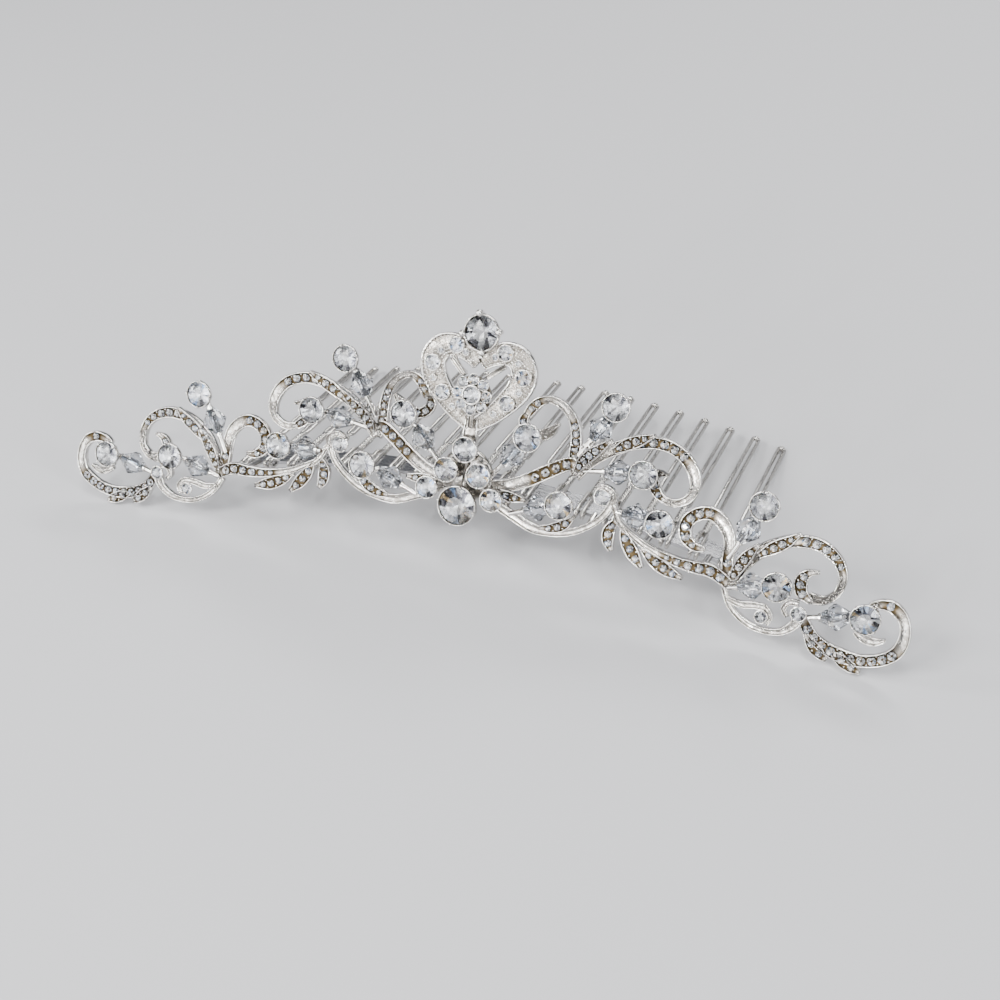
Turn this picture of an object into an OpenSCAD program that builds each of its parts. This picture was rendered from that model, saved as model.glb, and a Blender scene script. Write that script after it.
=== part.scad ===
// Bridal tiara: a soldered frame of cast scrolls set with stones, crystal beads that turn
// freely on their stem wires, and a wire comb hooked over an arched strip.
//
// Worn frame, in which every piece is drawn: X to the wearer's left and right, +Y back along
// the comb's teeth, +Z up, and the origin at the foot of the heart. rested() then tips the
// tiara back onto its two end leaves and its outermost teeth, and moves it to a table top.

/* [Shell] */
// Half the width across the two end scrolls
half_span = 86; // [80:1:92]
// How far the scrollwork leans back from upright, in degrees
plate_lean = 17; // [10:1:24]
// How far the ends come forward of the middle
end_sweep = 5.2; // [2:0.2:8]
// Thickness of a scroll's web
web_t = 0.95; // [0.8:0.05:1.3]
// Height of the raised rims beside the stones
rim_h = 0.4; // [0.2:0.05:0.6]
// Width of a raised rim
rim_w = 0.3; // [0.2:0.05:0.4]

/* [Stones] */
// Radius of a pave stone
pave_r = 0.8; // [0.6:0.05:0.85]
// Radius of the stone in each stem's cup
chaton_r = 2.55; // [2.2:0.05:2.7]
// Radius of the crown stone
crown_r = 3.3; // [2.8:0.1:3.6]
// Radius of the large stone below the cluster
drop_r = 3.7; // [3.2:0.1:3.9]

/* [Beads] */
// Diameter of a crystal bead
bead_d = 5; // [4:0.1:5.4]
// Length of a crystal bead along its wire
bead_len = 5.1; // [4.5:0.1:5.4]
// Radius of a stem wire
stem_r = 0.5; // [0.4:0.05:0.6]
// Radial clearance of a bead on its wire
bead_play = 0.05; // [0.02:0.01:0.1]

/* [Comb] */
// Number of teeth
tooth_count = 19; // [11:2:19]
// Distance between neighbouring teeth
tooth_pitch = 5.65; // [5:0.05:5.8]
// Width of the comb's strip, front to back
strip_w = 5.4; // [4:0.1:6]
// Thickness of the strip
strip_t = 0.7; // [0.5:0.1:1]
// Radius of the arch that the strip is bent to
strip_arc_r = 217; // [180:1:260]
// Reach of the teeth behind the strip
tooth_reach = 43; // [35:1:46]
// Radius of the comb wire
wire_r = 0.4; // [0.3:0.05:0.5]

/* [Rest] */
// Angle that the tiara tips back when it stands on a table, in degrees
rest_tilt = 8.9; // [0:0.1:15]

/* [Hidden] */

silver = [0.86, 0.86, 0.88];
steel = [0.68, 0.69, 0.71];
crystal = [0.88, 0.93, 0.98];

// Where the worn frame's origin lands when the tiara stands on a table
rest_shift = [0, -12.55, 20.65];

shell_front = -3.2;
front_tilt = 90 - plate_lean;
front = [0, -cos(plate_lean), sin(plate_lean)];
web_back = 0.7;
leaf_back = 0.55;
foot_back = 0.9;
floor_h = web_t - web_back;
stone_lift = 0.03;
steps = 2;
left = [1, 0, 0];

// Scroll centre lines. Each point is [x, z, half width, distance proud of the shell].
end_scroll_line = [
    [67.6, -15.2, 1, 1], [69.4, -17.8, 1.2, 0.6], [72, -19.5, 1.2, 0.3], [75, -20.4, 1.3, 0],
    [78.5, -20.4, 1.2, 0], [82, -19.3, 1.2, 0], [84.5, -17.3, 1.2, 0], [85.4, -14.8, 1.1, 0],
    [85.2, -12.4, 1, 0], [84, -10.5, 1.1, 0], [82.2, -9.7, 1.1, 0], [80.3, -9.9, 0.9, 0],
    [78.7, -10.8, 0.6, 0]];
end_leaf_a = [
    [68.7, -18, 0.5, 0.9], [70.2, -19.7, 1.2, 0.7], [71.8, -21, 1, 0.5], [73, -21.8, 0.35, 0.3]];
end_leaf_b = [
    [73.9, -20.2, 0.5, 0.4], [75.6, -21.1, 1.2, 0.2], [77.5, -21.9, 1.1, 0.1],
    [79.1, -22.4, 0.35, 0]];
end_crescent = [
    [77.1, -14.7, 0.5, 1.6], [78.6, -15.4, 0.9, 1.5], [80.5, -15.8, 0.8, 1.2], [82.4, -15.1, 0.25, 1]];
outer_arch_line = [
    [53.3, -13.7, 1.2, 0], [55, -10.4, 1.3, -0.5], [57.2, -7.7, 1.3, -1.2], [59.8, -6, 1.3, -2],
    [62.4, -4.8, 1.2, -2.6], [65, -4.2, 1.2, -2.8], [67.8, -4.2, 1.2, -3], [70.2, -5, 1.1, -3],
    [72, -6.4, 1, -3], [73, -8.3, 0.9, -2.8], [73, -10.2, 0.8, -2.4], [72.1, -11.7, 0.8, -1.8],
    [70.3, -12.6, 0.9, -1.2], [68.1, -12.4, 1.1, -0.6]];
outer_crescent = [
    [68.7, -12.7, 0.6, 0], [66.6, -11.5, 1.2, 0], [66.2, -9.6, 1.2, -0.3], [67.2, -8.2, 0.8, -0.5],
    [69.1, -7.7, 0.25, -0.8]];
outer_leaf = [
    [57.6, -7.6, 0.5, -0.6], [60, -5.8, 1.2, -0.9], [62.4, -4.1, 1.1, -1], [64.6, -2.1, 0.3, -1]];
outer_leaf_low = [
    [53.7, -12.6, 0.5, 0.7], [54.8, -9.6, 1.1, 1.1], [56.2, -6.9, 1.1, 1.4], [57.9, -4.3, 0.3, 1.6]];
lower_swirl_line = [
    [52.8, -14, 0.6, 0.5], [54.1, -16.3, 0.6, 0.8], [56.2, -18, 0.6, 1], [58.8, -19.1, 0.6, 1],
    [61.6, -19.3, 0.6, 1], [64.2, -18.7, 0.7, 1], [66.1, -17.2, 0.9, 1], [67, -15.5, 1.1, 1]];
swirl_curl = [
    [53.8, -15.4, 0.5, 1], [56.3, -15.8, 0.7, 1], [58.9, -15.3, 0.7, 1], [61, -15.3, 0.6, 1.2],
    [62, -16.6, 0.5, 1.2], [61.4, -18, 0.45, 1.2]];
swirl_hook = [[66.6, -12.9, 0.6, 1.2], [65, -13, 0.6, 1.2], [64.1, -14.4, 0.5, 1.2], [65, -15.7, 0.4, 1.2]];
mid_arch_line = [
    [20.9, -1.9, 1.1, -2.2], [23.1, 0.9, 1.2, -2.3], [25.8, 3.3, 1.3, -2.3],
    [29.1, 5.2, 1.3, -2.3], [32.4, 6.5, 1.2, -2.3], [35.7, 7.1, 1.2, -2.4], [38.6, 6.8, 1.2, -2.5],
    [41.3, 5.6, 1.2, -2.5], [43.1, 3.7, 1.2, -2.5], [44, 1.4, 1.1, -2.4], [43.7, -0.6, 0.9, -2.1],
    [42.3, -1.9, 0.8, -1.8], [40.3, -2.5, 0.8, -1.7], [38.3, -2.2, 0.7, -1.7]];
mid_crescent = [
    [39.4, -2.5, 0.5, -1.6], [37.4, -1.7, 1, -2.1], [36.2, -0.2, 1.1, -2.5], [36.4, 1.5, 1, -2.4],
    [37.5, 2.3, 0.7, -1.7], [38.9, 2.6, 0.25, -0.8]];
mid_leaf = [
    [27.8, 4.4, 0.5, -1.4], [30.2, 6.2, 1.2, -1.1], [33, 7.8, 1.1, -0.7], [35.6, 9.3, 0.3, -0.3]];
mid_leaf_low = [
    [21.2, -0.6, 0.5, -1], [22.5, 2, 1.1, -0.4], [24.9, 4.7, 1.1, 0.6], [27.9, 7.6, 0.3, 1.2]];
loop_line = [
    [48, -8.4, 0.5, 0], [45.9, -8.3, 0.9, 0], [44.1, -6.8, 1.2, 0], [44, -4.5, 1.3, -0.2],
    [45.6, -2.8, 1.3, -0.4], [47.9, -2.1, 1.3, -0.5], [50.1, -2.9, 1.3, -0.5], [51.8, -4.8, 1.2, -0.5],
    [52.4, -7, 1.1, -0.3], [52.5, -9.3, 1.1, 0], [53, -12.1, 1.2, 0]];
band_line = [
    [53.7, -13.1, 1.1, 0.6], [50.2, -11.4, 1.3, 1], [46.9, -11.2, 1.2, 1.4], [43.6, -11, 1, 1.5],
    [40.3, -10.4, 0.8, 1.5], [37.2, -9.5, 0.7, 1.5], [34.2, -8.1, 0.6, 1.5], [31.6, -6.7, 0.6, 1.2],
    [29.8, -3.8, 0.5, 0.8]];
band_leaf_a = [
    [30.9, -6.4, 0.5, 1.1], [29.9, -8.2, 1.2, 1.4], [29.9, -10.2, 1.2, 1.5], [30.8, -12, 0.4, 1.5]];
band_leaf_b = [
    [32.4, -7.4, 0.5, 1.5], [33.4, -9.4, 1.2, 1.5], [35.1, -11.6, 1.3, 1.5], [37.1, -13.7, 0.4, 1.5]];
band_leaf_c = [
    [36.6, -10, 0.5, 1.5], [38.9, -11.6, 1.2, 1.5], [41.8, -12.9, 1.3, 1.5], [45, -13.7, 0.4, 1.5]];
inner_loop_line = [
    [20.9, -1.9, 1, -2.2], [20.1, 1.5, 1.1, -2.6], [20, 4.8, 1.1, -2.8], [19.2, 7.7, 1, -2.6],
    [17.7, 9.8, 0.9, -2.2], [15.9, 11, 0.8, -1.8], [14.1, 11.4, 0.8, -1.4], [12.4, 10.8, 1, -1],
    [11.2, 9.6, 1.1, -0.8], [10.3, 8, 0.9, -0.8]];
inner_crescent = [
    [10.7, 9, 0.5, -1.1], [9.6, 7, 1, -1.2], [10.4, 5.3, 1.1, -1.2], [12.3, 4.6, 1.1, -1.1],
    [14.4, 5.3, 1.2, -0.8], [15.8, 6.5, 1, -0.4], [17, 8, 0.3, 0]];
inner_band_line = [
    [21.4, 0, 0.8, -2.2], [19.5, 0.3, 1.3, -2], [15.9, -1.4, 1.4, -1.2], [12.4, -3.3, 1.4, -0.4],
    [8.8, -4.7, 1.3, 0.4], [4.6, -5.2, 1, 1.1]];
inner_swirl_line = [
    [4.3, -6.6, 0.9, 1], [6.8, -8.5, 0.9, 1], [10.5, -10.1, 1, 0.8], [14.3, -11.6, 1, 0.6],
    [18, -11.7, 0.9, 0.5], [21.6, -11, 0.8, 0.5], [25, -9.3, 0.7, 0.5], [28, -6.6, 0.7, 0.5],
    [29.6, -3.5, 0.7, 0.5], [29.5, -1.9, 0.7, 0.9], [27.7, -1, 0.6, 1.1], [26.1, -1.5, 0.4, 1.1]];
swirl_leaf = [
    [16, -11, 0.5, 1], [18.4, -10.6, 1, 1.1], [20.8, -9.4, 1.1, 1.2], [22.6, -7.6, 0.35, 1.2]];
cluster_leaf = [[7, -6.3, 0.9, 0.9], [9.6, -6.6, 1.1, 0.9], [12.6, -6.6, 0.4, 0.9]];
heart_line = [
    [0.3, 5.2, 1.3, 1.2], [3.4, 7.4, 1.8, 1.2], [6.3, 10.2, 2.2, 1.1], [8.6, 13.2, 2.5, 1],
    [9.3, 16, 2.6, 0.8], [7.9, 18.3, 2.5, 0.5], [5.3, 18.9, 2.3, 0.2], [2.7, 18, 2, 0],
    [0.4, 16.2, 1.4, 0]];
heart_foot = [[0, 6.5, 1.3, 1.2], [0, 3, 1.5, 1.4], [0, 0.6, 1.2, 1.6]];
flower_arm = [[2.2, 14.6, 0.4, 2], [3.8, 15.8, 0.5, 1.6], [5.4, 16.9, 0.5, 1]];
flower_stalk = [[0, 9.2, 0.5, 2.1], [0, 6.8, 0.5, 1.9], [0, 5, 0.5, 1.7]];

// Rows of small stones: [centre line, stone radius, first and last fraction of the line]
pave_rows = [
    [end_scroll_line, pave_r, 0.04, 0.6], [end_scroll_line, pave_r, 0.84, 0.93],
    [end_leaf_a, 0.65, 0.15, 0.88], [end_leaf_b, 0.65, 0.15, 0.88],
    [outer_arch_line, pave_r, 0.46, 0.74], [outer_leaf, 0.7, 0.08, 0.88],
    [outer_leaf_low, 0.7, 0.08, 0.88], [outer_crescent, 0.7, 0.15, 0.75],
    [mid_arch_line, pave_r, 0.38, 0.66], [mid_leaf, 0.7, 0.08, 0.88],
    [mid_leaf_low, 0.7, 0.08, 0.88], [mid_crescent, 0.7, 0.12, 0.72],
    [loop_line, pave_r, 0.06, 0.52], [loop_line, pave_r, 0.84, 0.96],
    [band_line, pave_r, 0.04, 0.5], [band_leaf_a, 0.7, 0.1, 0.88], [band_leaf_b, 0.7, 0.1, 0.88],
    [band_leaf_c, 0.7, 0.1, 0.88], [inner_loop_line, 0.65, 0.12, 0.46],
    [inner_loop_line, 0.6, 0.82, 0.96], [inner_crescent, 0.65, 0.14, 0.6],
    [inner_band_line, pave_r, 0.08, 0.55], [swirl_leaf, 0.65, 0.12, 0.86],
    [cluster_leaf, 0.7, 0.1, 0.8]];

// Stones set in the heart: [x, z, radius, proud]
heart_gems = [[5, 19, 1.45, 0.2], [9.3, 15.4, 1.45, 0.85], [6.6, 10.4, 1.4, 1.1]];
flower_middle = [0, -3.1, 11.8];
flower_gem_r = 1.55;
petal_gem_r = 0.95;
petal_wall = 0.18;
petal_ring_r = 2.95;
petal_drop = 0.5;
petals = 8;

// Cluster stones: [x, y, z, radius]
cluster_top = [0, -6.3, 1.7, 2.3];
cluster_pair = [3.35, -7.9, -2.5, 2.25];
cluster_side = [6.7, -9.7, -6.2, 2.05];
drop_place = [0, -10.4, -8.4];
crown_place = [0, 2.4, 22.3];
boss = [0, -6, -4];
boss_r = 5.4;
boss_t = 1.2;

// Small bezels on each side: [x, z, radius, proud]
bezels = [[27.5, -3.1, 1.55, 0.7], [22.4, 3.9, 0.8, -1], [66.9, -14.3, 1.25, 2.1],
    [60.3, -16.9, 1.05, 1.5]];

// Stems on each side: [stone centre, wire root, distance from the cup to the bead]
stems = [
    [[78.5, -13.4, -12], [68.4, -12, -15.1], 5.3],
    [[62.7, -13.5, -9.2], [53.5, -10.4, -13.5], 5.2],
    [[58, -7.5, 3], [52.6, -8.2, -8.8], 6],
    [[39.6, -9, -4.2], [30.8, -7.3, -4.4], 5.05],
    [[34.5, -3.5, 2.1], [22.4, -1.6, -0.6], 5.4],
    [[27.8, -0.5, 13.3], [21.2, -1.5, 2.4], 5.7],
    [[12.7, -6.3, 6.8], [4.9, -6, -3.4], 5.5],
    [[20.4, -9.9, -4.1], [9.8, -7.9, -9.3], 5.4]];
cup_depth = 2.1;
collar_r = 0.8;
collar_t = 0.35;
bead_end_gap = 0.15;
bead_end_r = 0.95;
bead_band = 0.3;

// The comb in the worn frame
strip_y = -0.8;
strip_top_z = -7;
solder = 0.05;
hook_r = strip_t / 2 + wire_r - solder;
leg_gap = 1.3;
neck_len = 1.2;
twist_len = 6;
twist_r = 0.8;
strip_half_angle = asin(((tooth_count - 1) / 2 * tooth_pitch + 2) / strip_arc_r);

// Posts from a scroll's back to the strip: [x, z, distance proud of the shell]
post_spots = [[8.5, -9.2, 0.8], [25.4, -9.1, 0.4], [36.7, -9.5, 1.3], [48, -11.4, 1]];
post_r = 0.65;

function unit(v) = v / norm(v);
function strip_z(x) =
    strip_top_z - strip_t / 2 - strip_arc_r + sqrt(pow(strip_arc_r, 2) - pow(x, 2));
function shell_y(x, z) = shell_front + tan(plate_lean) * z - end_sweep * pow(x / half_span, 2);
function lay(p) = [p[0], shell_y(p[0], p[1]) - p[3], p[1]];

// Catmull-Rom spline through a list of points, with straight ends
function knot(p, i) =
    i < 0 ? 2 * p[0] - p[1] : i >= len(p) ? 2 * p[len(p) - 1] - p[len(p) - 2] : p[i];
function blend(a, b, c, d, s) =
    0.5 * (2 * b + (c - a) * s + (2 * a - 5 * b + 4 * c - d) * s * s
        + (3 * b - a - 3 * c + d) * s * s * s);
function spline(p, n) = concat(
    [for (i = [0:len(p) - 2]) for (j = [0:n - 1])
        blend(knot(p, i - 1), p[i], knot(p, i + 1), knot(p, i + 2), j / n)],
    [p[len(p) - 1]]);

// Running length along laid points, and the point at a given length
function gap(q, i) = norm(lay(q[i]) - lay(q[i - 1]));
function lengths(q, i = 0, sum = 0) =
    i >= len(q) ? [] : let (s = i == 0 ? 0 : sum + gap(q, i)) concat([s], lengths(q, i + 1, s));
function at_length(q, run, s) =
    let (hits = [for (i = [0:len(q) - 2]) if (run[i] <= s && s <= run[i + 1]) i], k = hits[0])
    q[k] + (q[k + 1] - q[k]) * (s - run[k]) / (run[k + 1] - run[k]);

// Channel section of a scroll: across the width, then towards the front
function channel(w, back) =
    let (r = min(rim_w, 0.35 * w), top = floor_h + rim_h)
    [[-w, -back], [w, -back], [w, top], [w - r, top], [w - r, floor_h], [r - w, floor_h],
        [r - w, top], [-w, top]];
channel_cap = [[0, 1, 4], [0, 4, 5], [1, 2, 3], [1, 3, 4], [0, 5, 6], [0, 6, 7]];

module rested() {
    translate(rest_shift) rotate([-rest_tilt, 0, 0]) children();
}

module both_sides() {
    children();
    mirror(left) children();
}

// A cast ribbon with raised rims, swept along a centre line on the shell
module ribbon(line, back = web_back) {
    q = spline(line, steps);
    n = len(q);
    rings = [for (i = [0:n - 1])
        let (ahead = lay(q[min(i + 1, n - 1)]), behind = lay(q[max(i - 1, 0)]),
            t = unit(ahead - behind), f = unit(front - (front * t) * t), b = cross(f, t))
        [for (c = channel(q[i][2], back)) lay(q[i]) + c[0] * b + c[1] * f]];
    m = len(rings[0]);
    points = [for (ring = rings) for (p = ring) p];
    sides = [for (i = [0:n - 2]) for (j = [0:m - 1])
        let (a = i * m + j, b = (i + 1) * m + j, c = (i + 1) * m + (j + 1) % m,
            d = i * m + (j + 1) % m)
        each [[a, b, c], [a, c, d]]];
    last = (n - 1) * m;
    end = [for (c = channel_cap) [last + c[2], last + c[1], last + c[0]]];
    polyhedron(points, concat(sides, channel_cap, end));
}

module facing_front(p) {
    translate(p) rotate([front_tilt, 0, 0]) children();
}

// A low stone for a channel, sitting just clear of its floor
module pave_gem(r) {
    rotate_extrude($fn = 16)
        polygon([[0, 0], [0.6 * r, 0], [r, 0.3], [r, 0.42], [0.6 * r, 0.75], [0, 0.75]]);
}

// A pointed-back stone that rests on its girdle, at z = 0
module gem(r) {
    rotate_extrude($fn = 32)
        polygon([[0, -0.6 * r], [0.88 * r, 0], [0.985 * r, 0], [0.985 * r, 0.12 * r],
            [0.6 * r, 0.42 * r], [0, 0.42 * r]]);
}

// A cup with a ledge at z = 0 for gem(r), and a conical well for the stone's point
module cup(r, wall = 0.28) {
    rotate_extrude($fn = 32)
        polygon([[0, -0.9 * r], [0.35 * r, -0.9 * r], [r + wall, -0.06 * r], [r + wall, 0.16 * r],
            [r + 0.03, 0.16 * r], [r + 0.03, 0], [0.9 * r, 0], [0, -0.7 * r]]);
}

module rod(a, b, r) {
    v = b - a;
    translate(a) rotate([0, acos(v[2] / norm(v)), atan2(v[1], v[0])])
        cylinder(h = norm(v), r = r, $fn = 24);
}

module stone_row(row) {
    q = spline(row[0], 4);
    run = lengths(q);
    total = run[len(run) - 1];
    span = (row[3] - row[2]) * total;
    count = max(1, floor(span / (2 * row[1] + 0.22)));
    for (i = [0:count - 1]) {
        p = at_length(q, run, row[2] * total + (i + 0.5) * span / count);
        r = min(row[1], p[2] - min(rim_w, 0.35 * p[2]) - 0.08);
        facing_front(lay(p) + (floor_h + stone_lift) * front) pave_gem(r);
    }
}

module pave_side() {
    for (row = pave_rows) stone_row(row);
}

function stem_tip(s) = s[0] - cup_depth * front;
function stem_dir(s) = unit(stem_tip(s) - s[1]);
function bead_middle(s) = stem_tip(s) - s[2] * stem_dir(s);

module along(origin, dir) {
    translate(origin) rotate([0, acos(dir[2]), atan2(dir[1], dir[0])]) children();
}

module stem_side() {
    reach = bead_len / 2 + bead_end_gap;
    for (s = stems) {
        rod(s[1], stem_tip(s), stem_r);
        along(bead_middle(s), stem_dir(s)) {
            translate([0, 0, reach]) cylinder(h = collar_t, r = collar_r, $fn = 24);
            translate([0, 0, -reach - collar_t]) cylinder(h = collar_t, r = collar_r, $fn = 24);
        }
    }
}

module bead(s) {
    bore = stem_r + bead_play;
    r = bead_d / 2;
    h = bead_len / 2;
    along(bead_middle(s), stem_dir(s)) rotate_extrude($fn = 48)
        polygon([[bore, -h], [bead_end_r, -h], [r, -bead_band], [r, bead_band],
            [bead_end_r, h], [bore, h]]);
}

module chaton_cup_side() {
    for (s = stems) facing_front(s[0]) cup(chaton_r);
}

module chaton_stone_side() {
    for (s = stems) facing_front(s[0]) gem(chaton_r);
}

module strip_place(angle) {
    translate([0, 0, strip_top_z - strip_arc_r]) rotate([0, angle, 0])
        translate([0, 0, strip_arc_r]) children();
}

module end_scroll() {
    ribbon(end_scroll_line);
    ribbon(end_leaf_a, leaf_back);
    ribbon(end_leaf_b, leaf_back);
    ribbon(end_crescent, leaf_back);
}

module outer_scroll() {
    ribbon(outer_arch_line);
    ribbon(outer_crescent, leaf_back);
    ribbon(outer_leaf, leaf_back);
    ribbon(outer_leaf_low, leaf_back);
}

module lower_swirl() {
    ribbon(lower_swirl_line);
    ribbon(swirl_curl, leaf_back);
    ribbon(swirl_hook, leaf_back);
}

module mid_scroll() {
    ribbon(mid_arch_line);
    ribbon(mid_crescent, leaf_back);
    ribbon(mid_leaf, leaf_back);
    ribbon(mid_leaf_low, leaf_back);
}

module lower_band() {
    ribbon(band_line);
    ribbon(band_leaf_a, leaf_back);
    ribbon(band_leaf_b, leaf_back);
    ribbon(band_leaf_c, leaf_back);
}

module inner_loop() {
    ribbon(inner_loop_line);
    ribbon(inner_band_line, leaf_back);
    ribbon(inner_crescent, leaf_back);
}

module inner_swirl() {
    ribbon(inner_swirl_line);
    ribbon(swirl_leaf, leaf_back);
    ribbon(cluster_leaf, leaf_back);
}

module end_scroll_left() { color(silver) rested() mirror(left) end_scroll(); }
module end_scroll_right() { color(silver) rested() end_scroll(); }
module outer_scroll_left() { color(silver) rested() mirror(left) outer_scroll(); }
module outer_scroll_right() { color(silver) rested() outer_scroll(); }
module lower_swirl_left() { color(silver) rested() mirror(left) lower_swirl(); }
module lower_swirl_right() { color(silver) rested() lower_swirl(); }
module mid_scroll_left() { color(silver) rested() mirror(left) mid_scroll(); }
module mid_scroll_right() { color(silver) rested() mid_scroll(); }
module loop_scroll_left() { color(silver) rested() mirror(left) ribbon(loop_line); }
module loop_scroll_right() { color(silver) rested() ribbon(loop_line); }
module lower_band_left() { color(silver) rested() mirror(left) lower_band(); }
module lower_band_right() { color(silver) rested() lower_band(); }
module inner_loop_left() { color(silver) rested() mirror(left) inner_loop(); }
module inner_loop_right() { color(silver) rested() inner_loop(); }
module inner_swirl_left() { color(silver) rested() mirror(left) inner_swirl(); }
module inner_swirl_right() { color(silver) rested() inner_swirl(); }

// The heart: two lobes that meet in the cleft and run down into one foot
module heart_frame() {
    color(silver) rested() {
        both_sides() ribbon(heart_line);
        ribbon(heart_foot, foot_back);
    }
}

module at_petals() {
    facing_front(flower_middle) for (i = [0:petals - 1])
        rotate([0, 0, i * 360 / petals]) translate([petal_ring_r, 0, -petal_drop]) children();
}

// The flower inside the heart, on two arms and a stalk
module flower_setting() {
    plate_z = -petal_drop - 0.7 * petal_gem_r;
    color(silver) rested() {
        facing_front(flower_middle) {
            cup(flower_gem_r);
            translate([0, 0, plate_z - 0.45])
                cylinder(h = 0.4, r = petal_ring_r + 0.6, $fn = 48);
        }
        at_petals() cup(petal_gem_r, petal_wall);
        both_sides() ribbon(flower_arm);
        ribbon(flower_stalk);
    }
}

module flower_stones() {
    color(crystal) rested() {
        facing_front(flower_middle) gem(flower_gem_r);
        at_petals() gem(petal_gem_r);
    }
}

module heart_stones() {
    color(crystal) rested() both_sides() for (h = heart_gems)
        facing_front(lay([h[0], h[1], 0, h[3]]) + (floor_h + stone_lift) * front) pave_gem(h[2]);
}

// Four ball-tipped prongs around a cup on a short post
module crown_setting() {
    color(silver) rested() {
        facing_front(crown_place) {
            cup(crown_r);
            for (i = [0:3]) rotate([0, 0, i * 90 + 10]) {
                translate([crown_r + 0.55, 0, -0.9]) cylinder(h = 1.5, r = 0.4, $fn = 16);
                translate([crown_r + 0.55, 0, 0.75]) sphere(r = 0.62, $fn = 16);
            }
        }
        rod([0, 4.7, 21], [0, 2.3, 16], 0.9);
    }
}

module crown_stone() {
    color(crystal) rested() facing_front(crown_place) gem(crown_r);
}

module at_cluster(c) {
    facing_front([c[0], c[1], c[2]]) children();
}

// A cluster cup and the short wire that ties it to the boss
module cluster_cup(c) {
    at_cluster(c) cup(c[3]);
    rod(boss + [0.5 * c[0], 0, 0], [c[0], c[1], c[2]] - 0.85 * c[3] * front, 0.7);
}

module cluster_settings() {
    color(silver) rested() {
        facing_front(boss) translate([0, 0, -boss_t]) cylinder(h = boss_t, r = boss_r, $fn = 48);
        cluster_cup(cluster_top);
        both_sides() {
            cluster_cup(cluster_pair);
            cluster_cup(cluster_side);
        }
        cluster_cup(concat(drop_place, drop_r));
    }
}

module cluster_stones() {
    color(crystal) rested() {
        at_cluster(cluster_top) gem(cluster_top[3]);
        both_sides() {
            at_cluster(cluster_pair) gem(cluster_pair[3]);
            at_cluster(cluster_side) gem(cluster_side[3]);
        }
    }
}

module drop_stone() { color(crystal) rested() facing_front(drop_place) gem(drop_r); }

module bezel_cups() {
    color(silver) rested() both_sides()
        for (b = bezels) facing_front(lay([b[0], b[1], 0, b[3]])) cup(b[2], 0.25);
}

module bezel_stones() {
    color(crystal) rested() both_sides()
        for (b = bezels) facing_front(lay([b[0], b[1], 0, b[3]])) gem(b[2]);
}

module stem_wires_left() { color(silver) rested() mirror(left) stem_side(); }
module stem_wires_right() { color(silver) rested() stem_side(); }
module chaton_cups_left() { color(silver) rested() mirror(left) chaton_cup_side(); }
module chaton_cups_right() { color(silver) rested() chaton_cup_side(); }
module chaton_stones_left() { color(crystal) rested() mirror(left) chaton_stone_side(); }
module chaton_stones_right() { color(crystal) rested() chaton_stone_side(); }
module pave_stones_left() { color(crystal) rested() mirror(left) pave_side(); }
module pave_stones_right() { color(crystal) rested() pave_side(); }

// A flat strip bent to an arch, its faces square to the arch's radius
module comb_strip() {
    color(steel) rested() translate([0, 0, strip_top_z - strip_arc_r]) rotate([90, 0, 0])
        translate([0, 0, -strip_y - strip_w / 2]) rotate([0, 0, 90 - strip_half_angle])
            rotate_extrude(angle = 2 * strip_half_angle, $fn = 360)
                translate([strip_arc_r - strip_t, 0]) square([strip_t, strip_w]);
}

// One tooth is one wire: a double hook over the strip, a twisted neck, and two legs
module tooth() {
    front_y = strip_y - strip_w / 2 - 0.5;
    back_y = strip_y + strip_w / 2 + 0.4;
    legs_y = back_y + neck_len + twist_len;
    loop_y = strip_y + strip_w / 2 + tooth_reach - leg_gap / 2;
    translate([0, 0, -strip_t / 2]) {
        for (side = [-1, 1]) translate([side * leg_gap / 2, 0, 0]) {
            rod([0, front_y, hook_r], [0, back_y, hook_r], wire_r);
            rod([0, front_y, -hook_r], [0, back_y, -hook_r], wire_r);
            rod([0, legs_y - 0.5, 0], [0, loop_y, 0], wire_r);
            translate([0, front_y, 0]) rotate([0, 90, 0]) rotate([0, 0, 180])
                rotate_extrude(angle = 180, $fn = 32)
                    translate([hook_r, 0]) circle(r = wire_r, $fn = 16);
        }
        translate([0, back_y - 0.1, 0]) rotate([-90, 0, 0]) {
            cylinder(h = neck_len, r1 = hook_r + wire_r, r2 = twist_r, $fn = 24);
            translate([0, 0, neck_len]) cylinder(h = twist_len, r = twist_r, $fn = 24);
        }
        translate([0, loop_y, 0])
            rotate_extrude(angle = 180, $fn = 32)
                translate([leg_gap / 2, 0]) circle(r = wire_r, $fn = 16);
    }
}

module comb_teeth() {
    color(steel) rested() for (i = [0:tooth_count - 1]) {
        across = (i - (tooth_count - 1) / 2) * tooth_pitch;
        strip_place(asin(across / strip_arc_r)) tooth();
    }
}

// Soldered posts that tie the scrolls to the strip's front edge
module mounting_posts() {
    edge_y = strip_y - strip_w / 2 + 0.4;
    color(silver) rested() both_sides() for (p = post_spots)
        rod(lay([p[0], p[1], 0, p[2]]), [p[0], edge_y, strip_z(p[0])], post_r);
}

module bead_left(i) { color(crystal) rested() mirror(left) bead(stems[i - 1]); }
module bead_right(i) { color(crystal) rested() bead(stems[i - 1]); }

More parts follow.
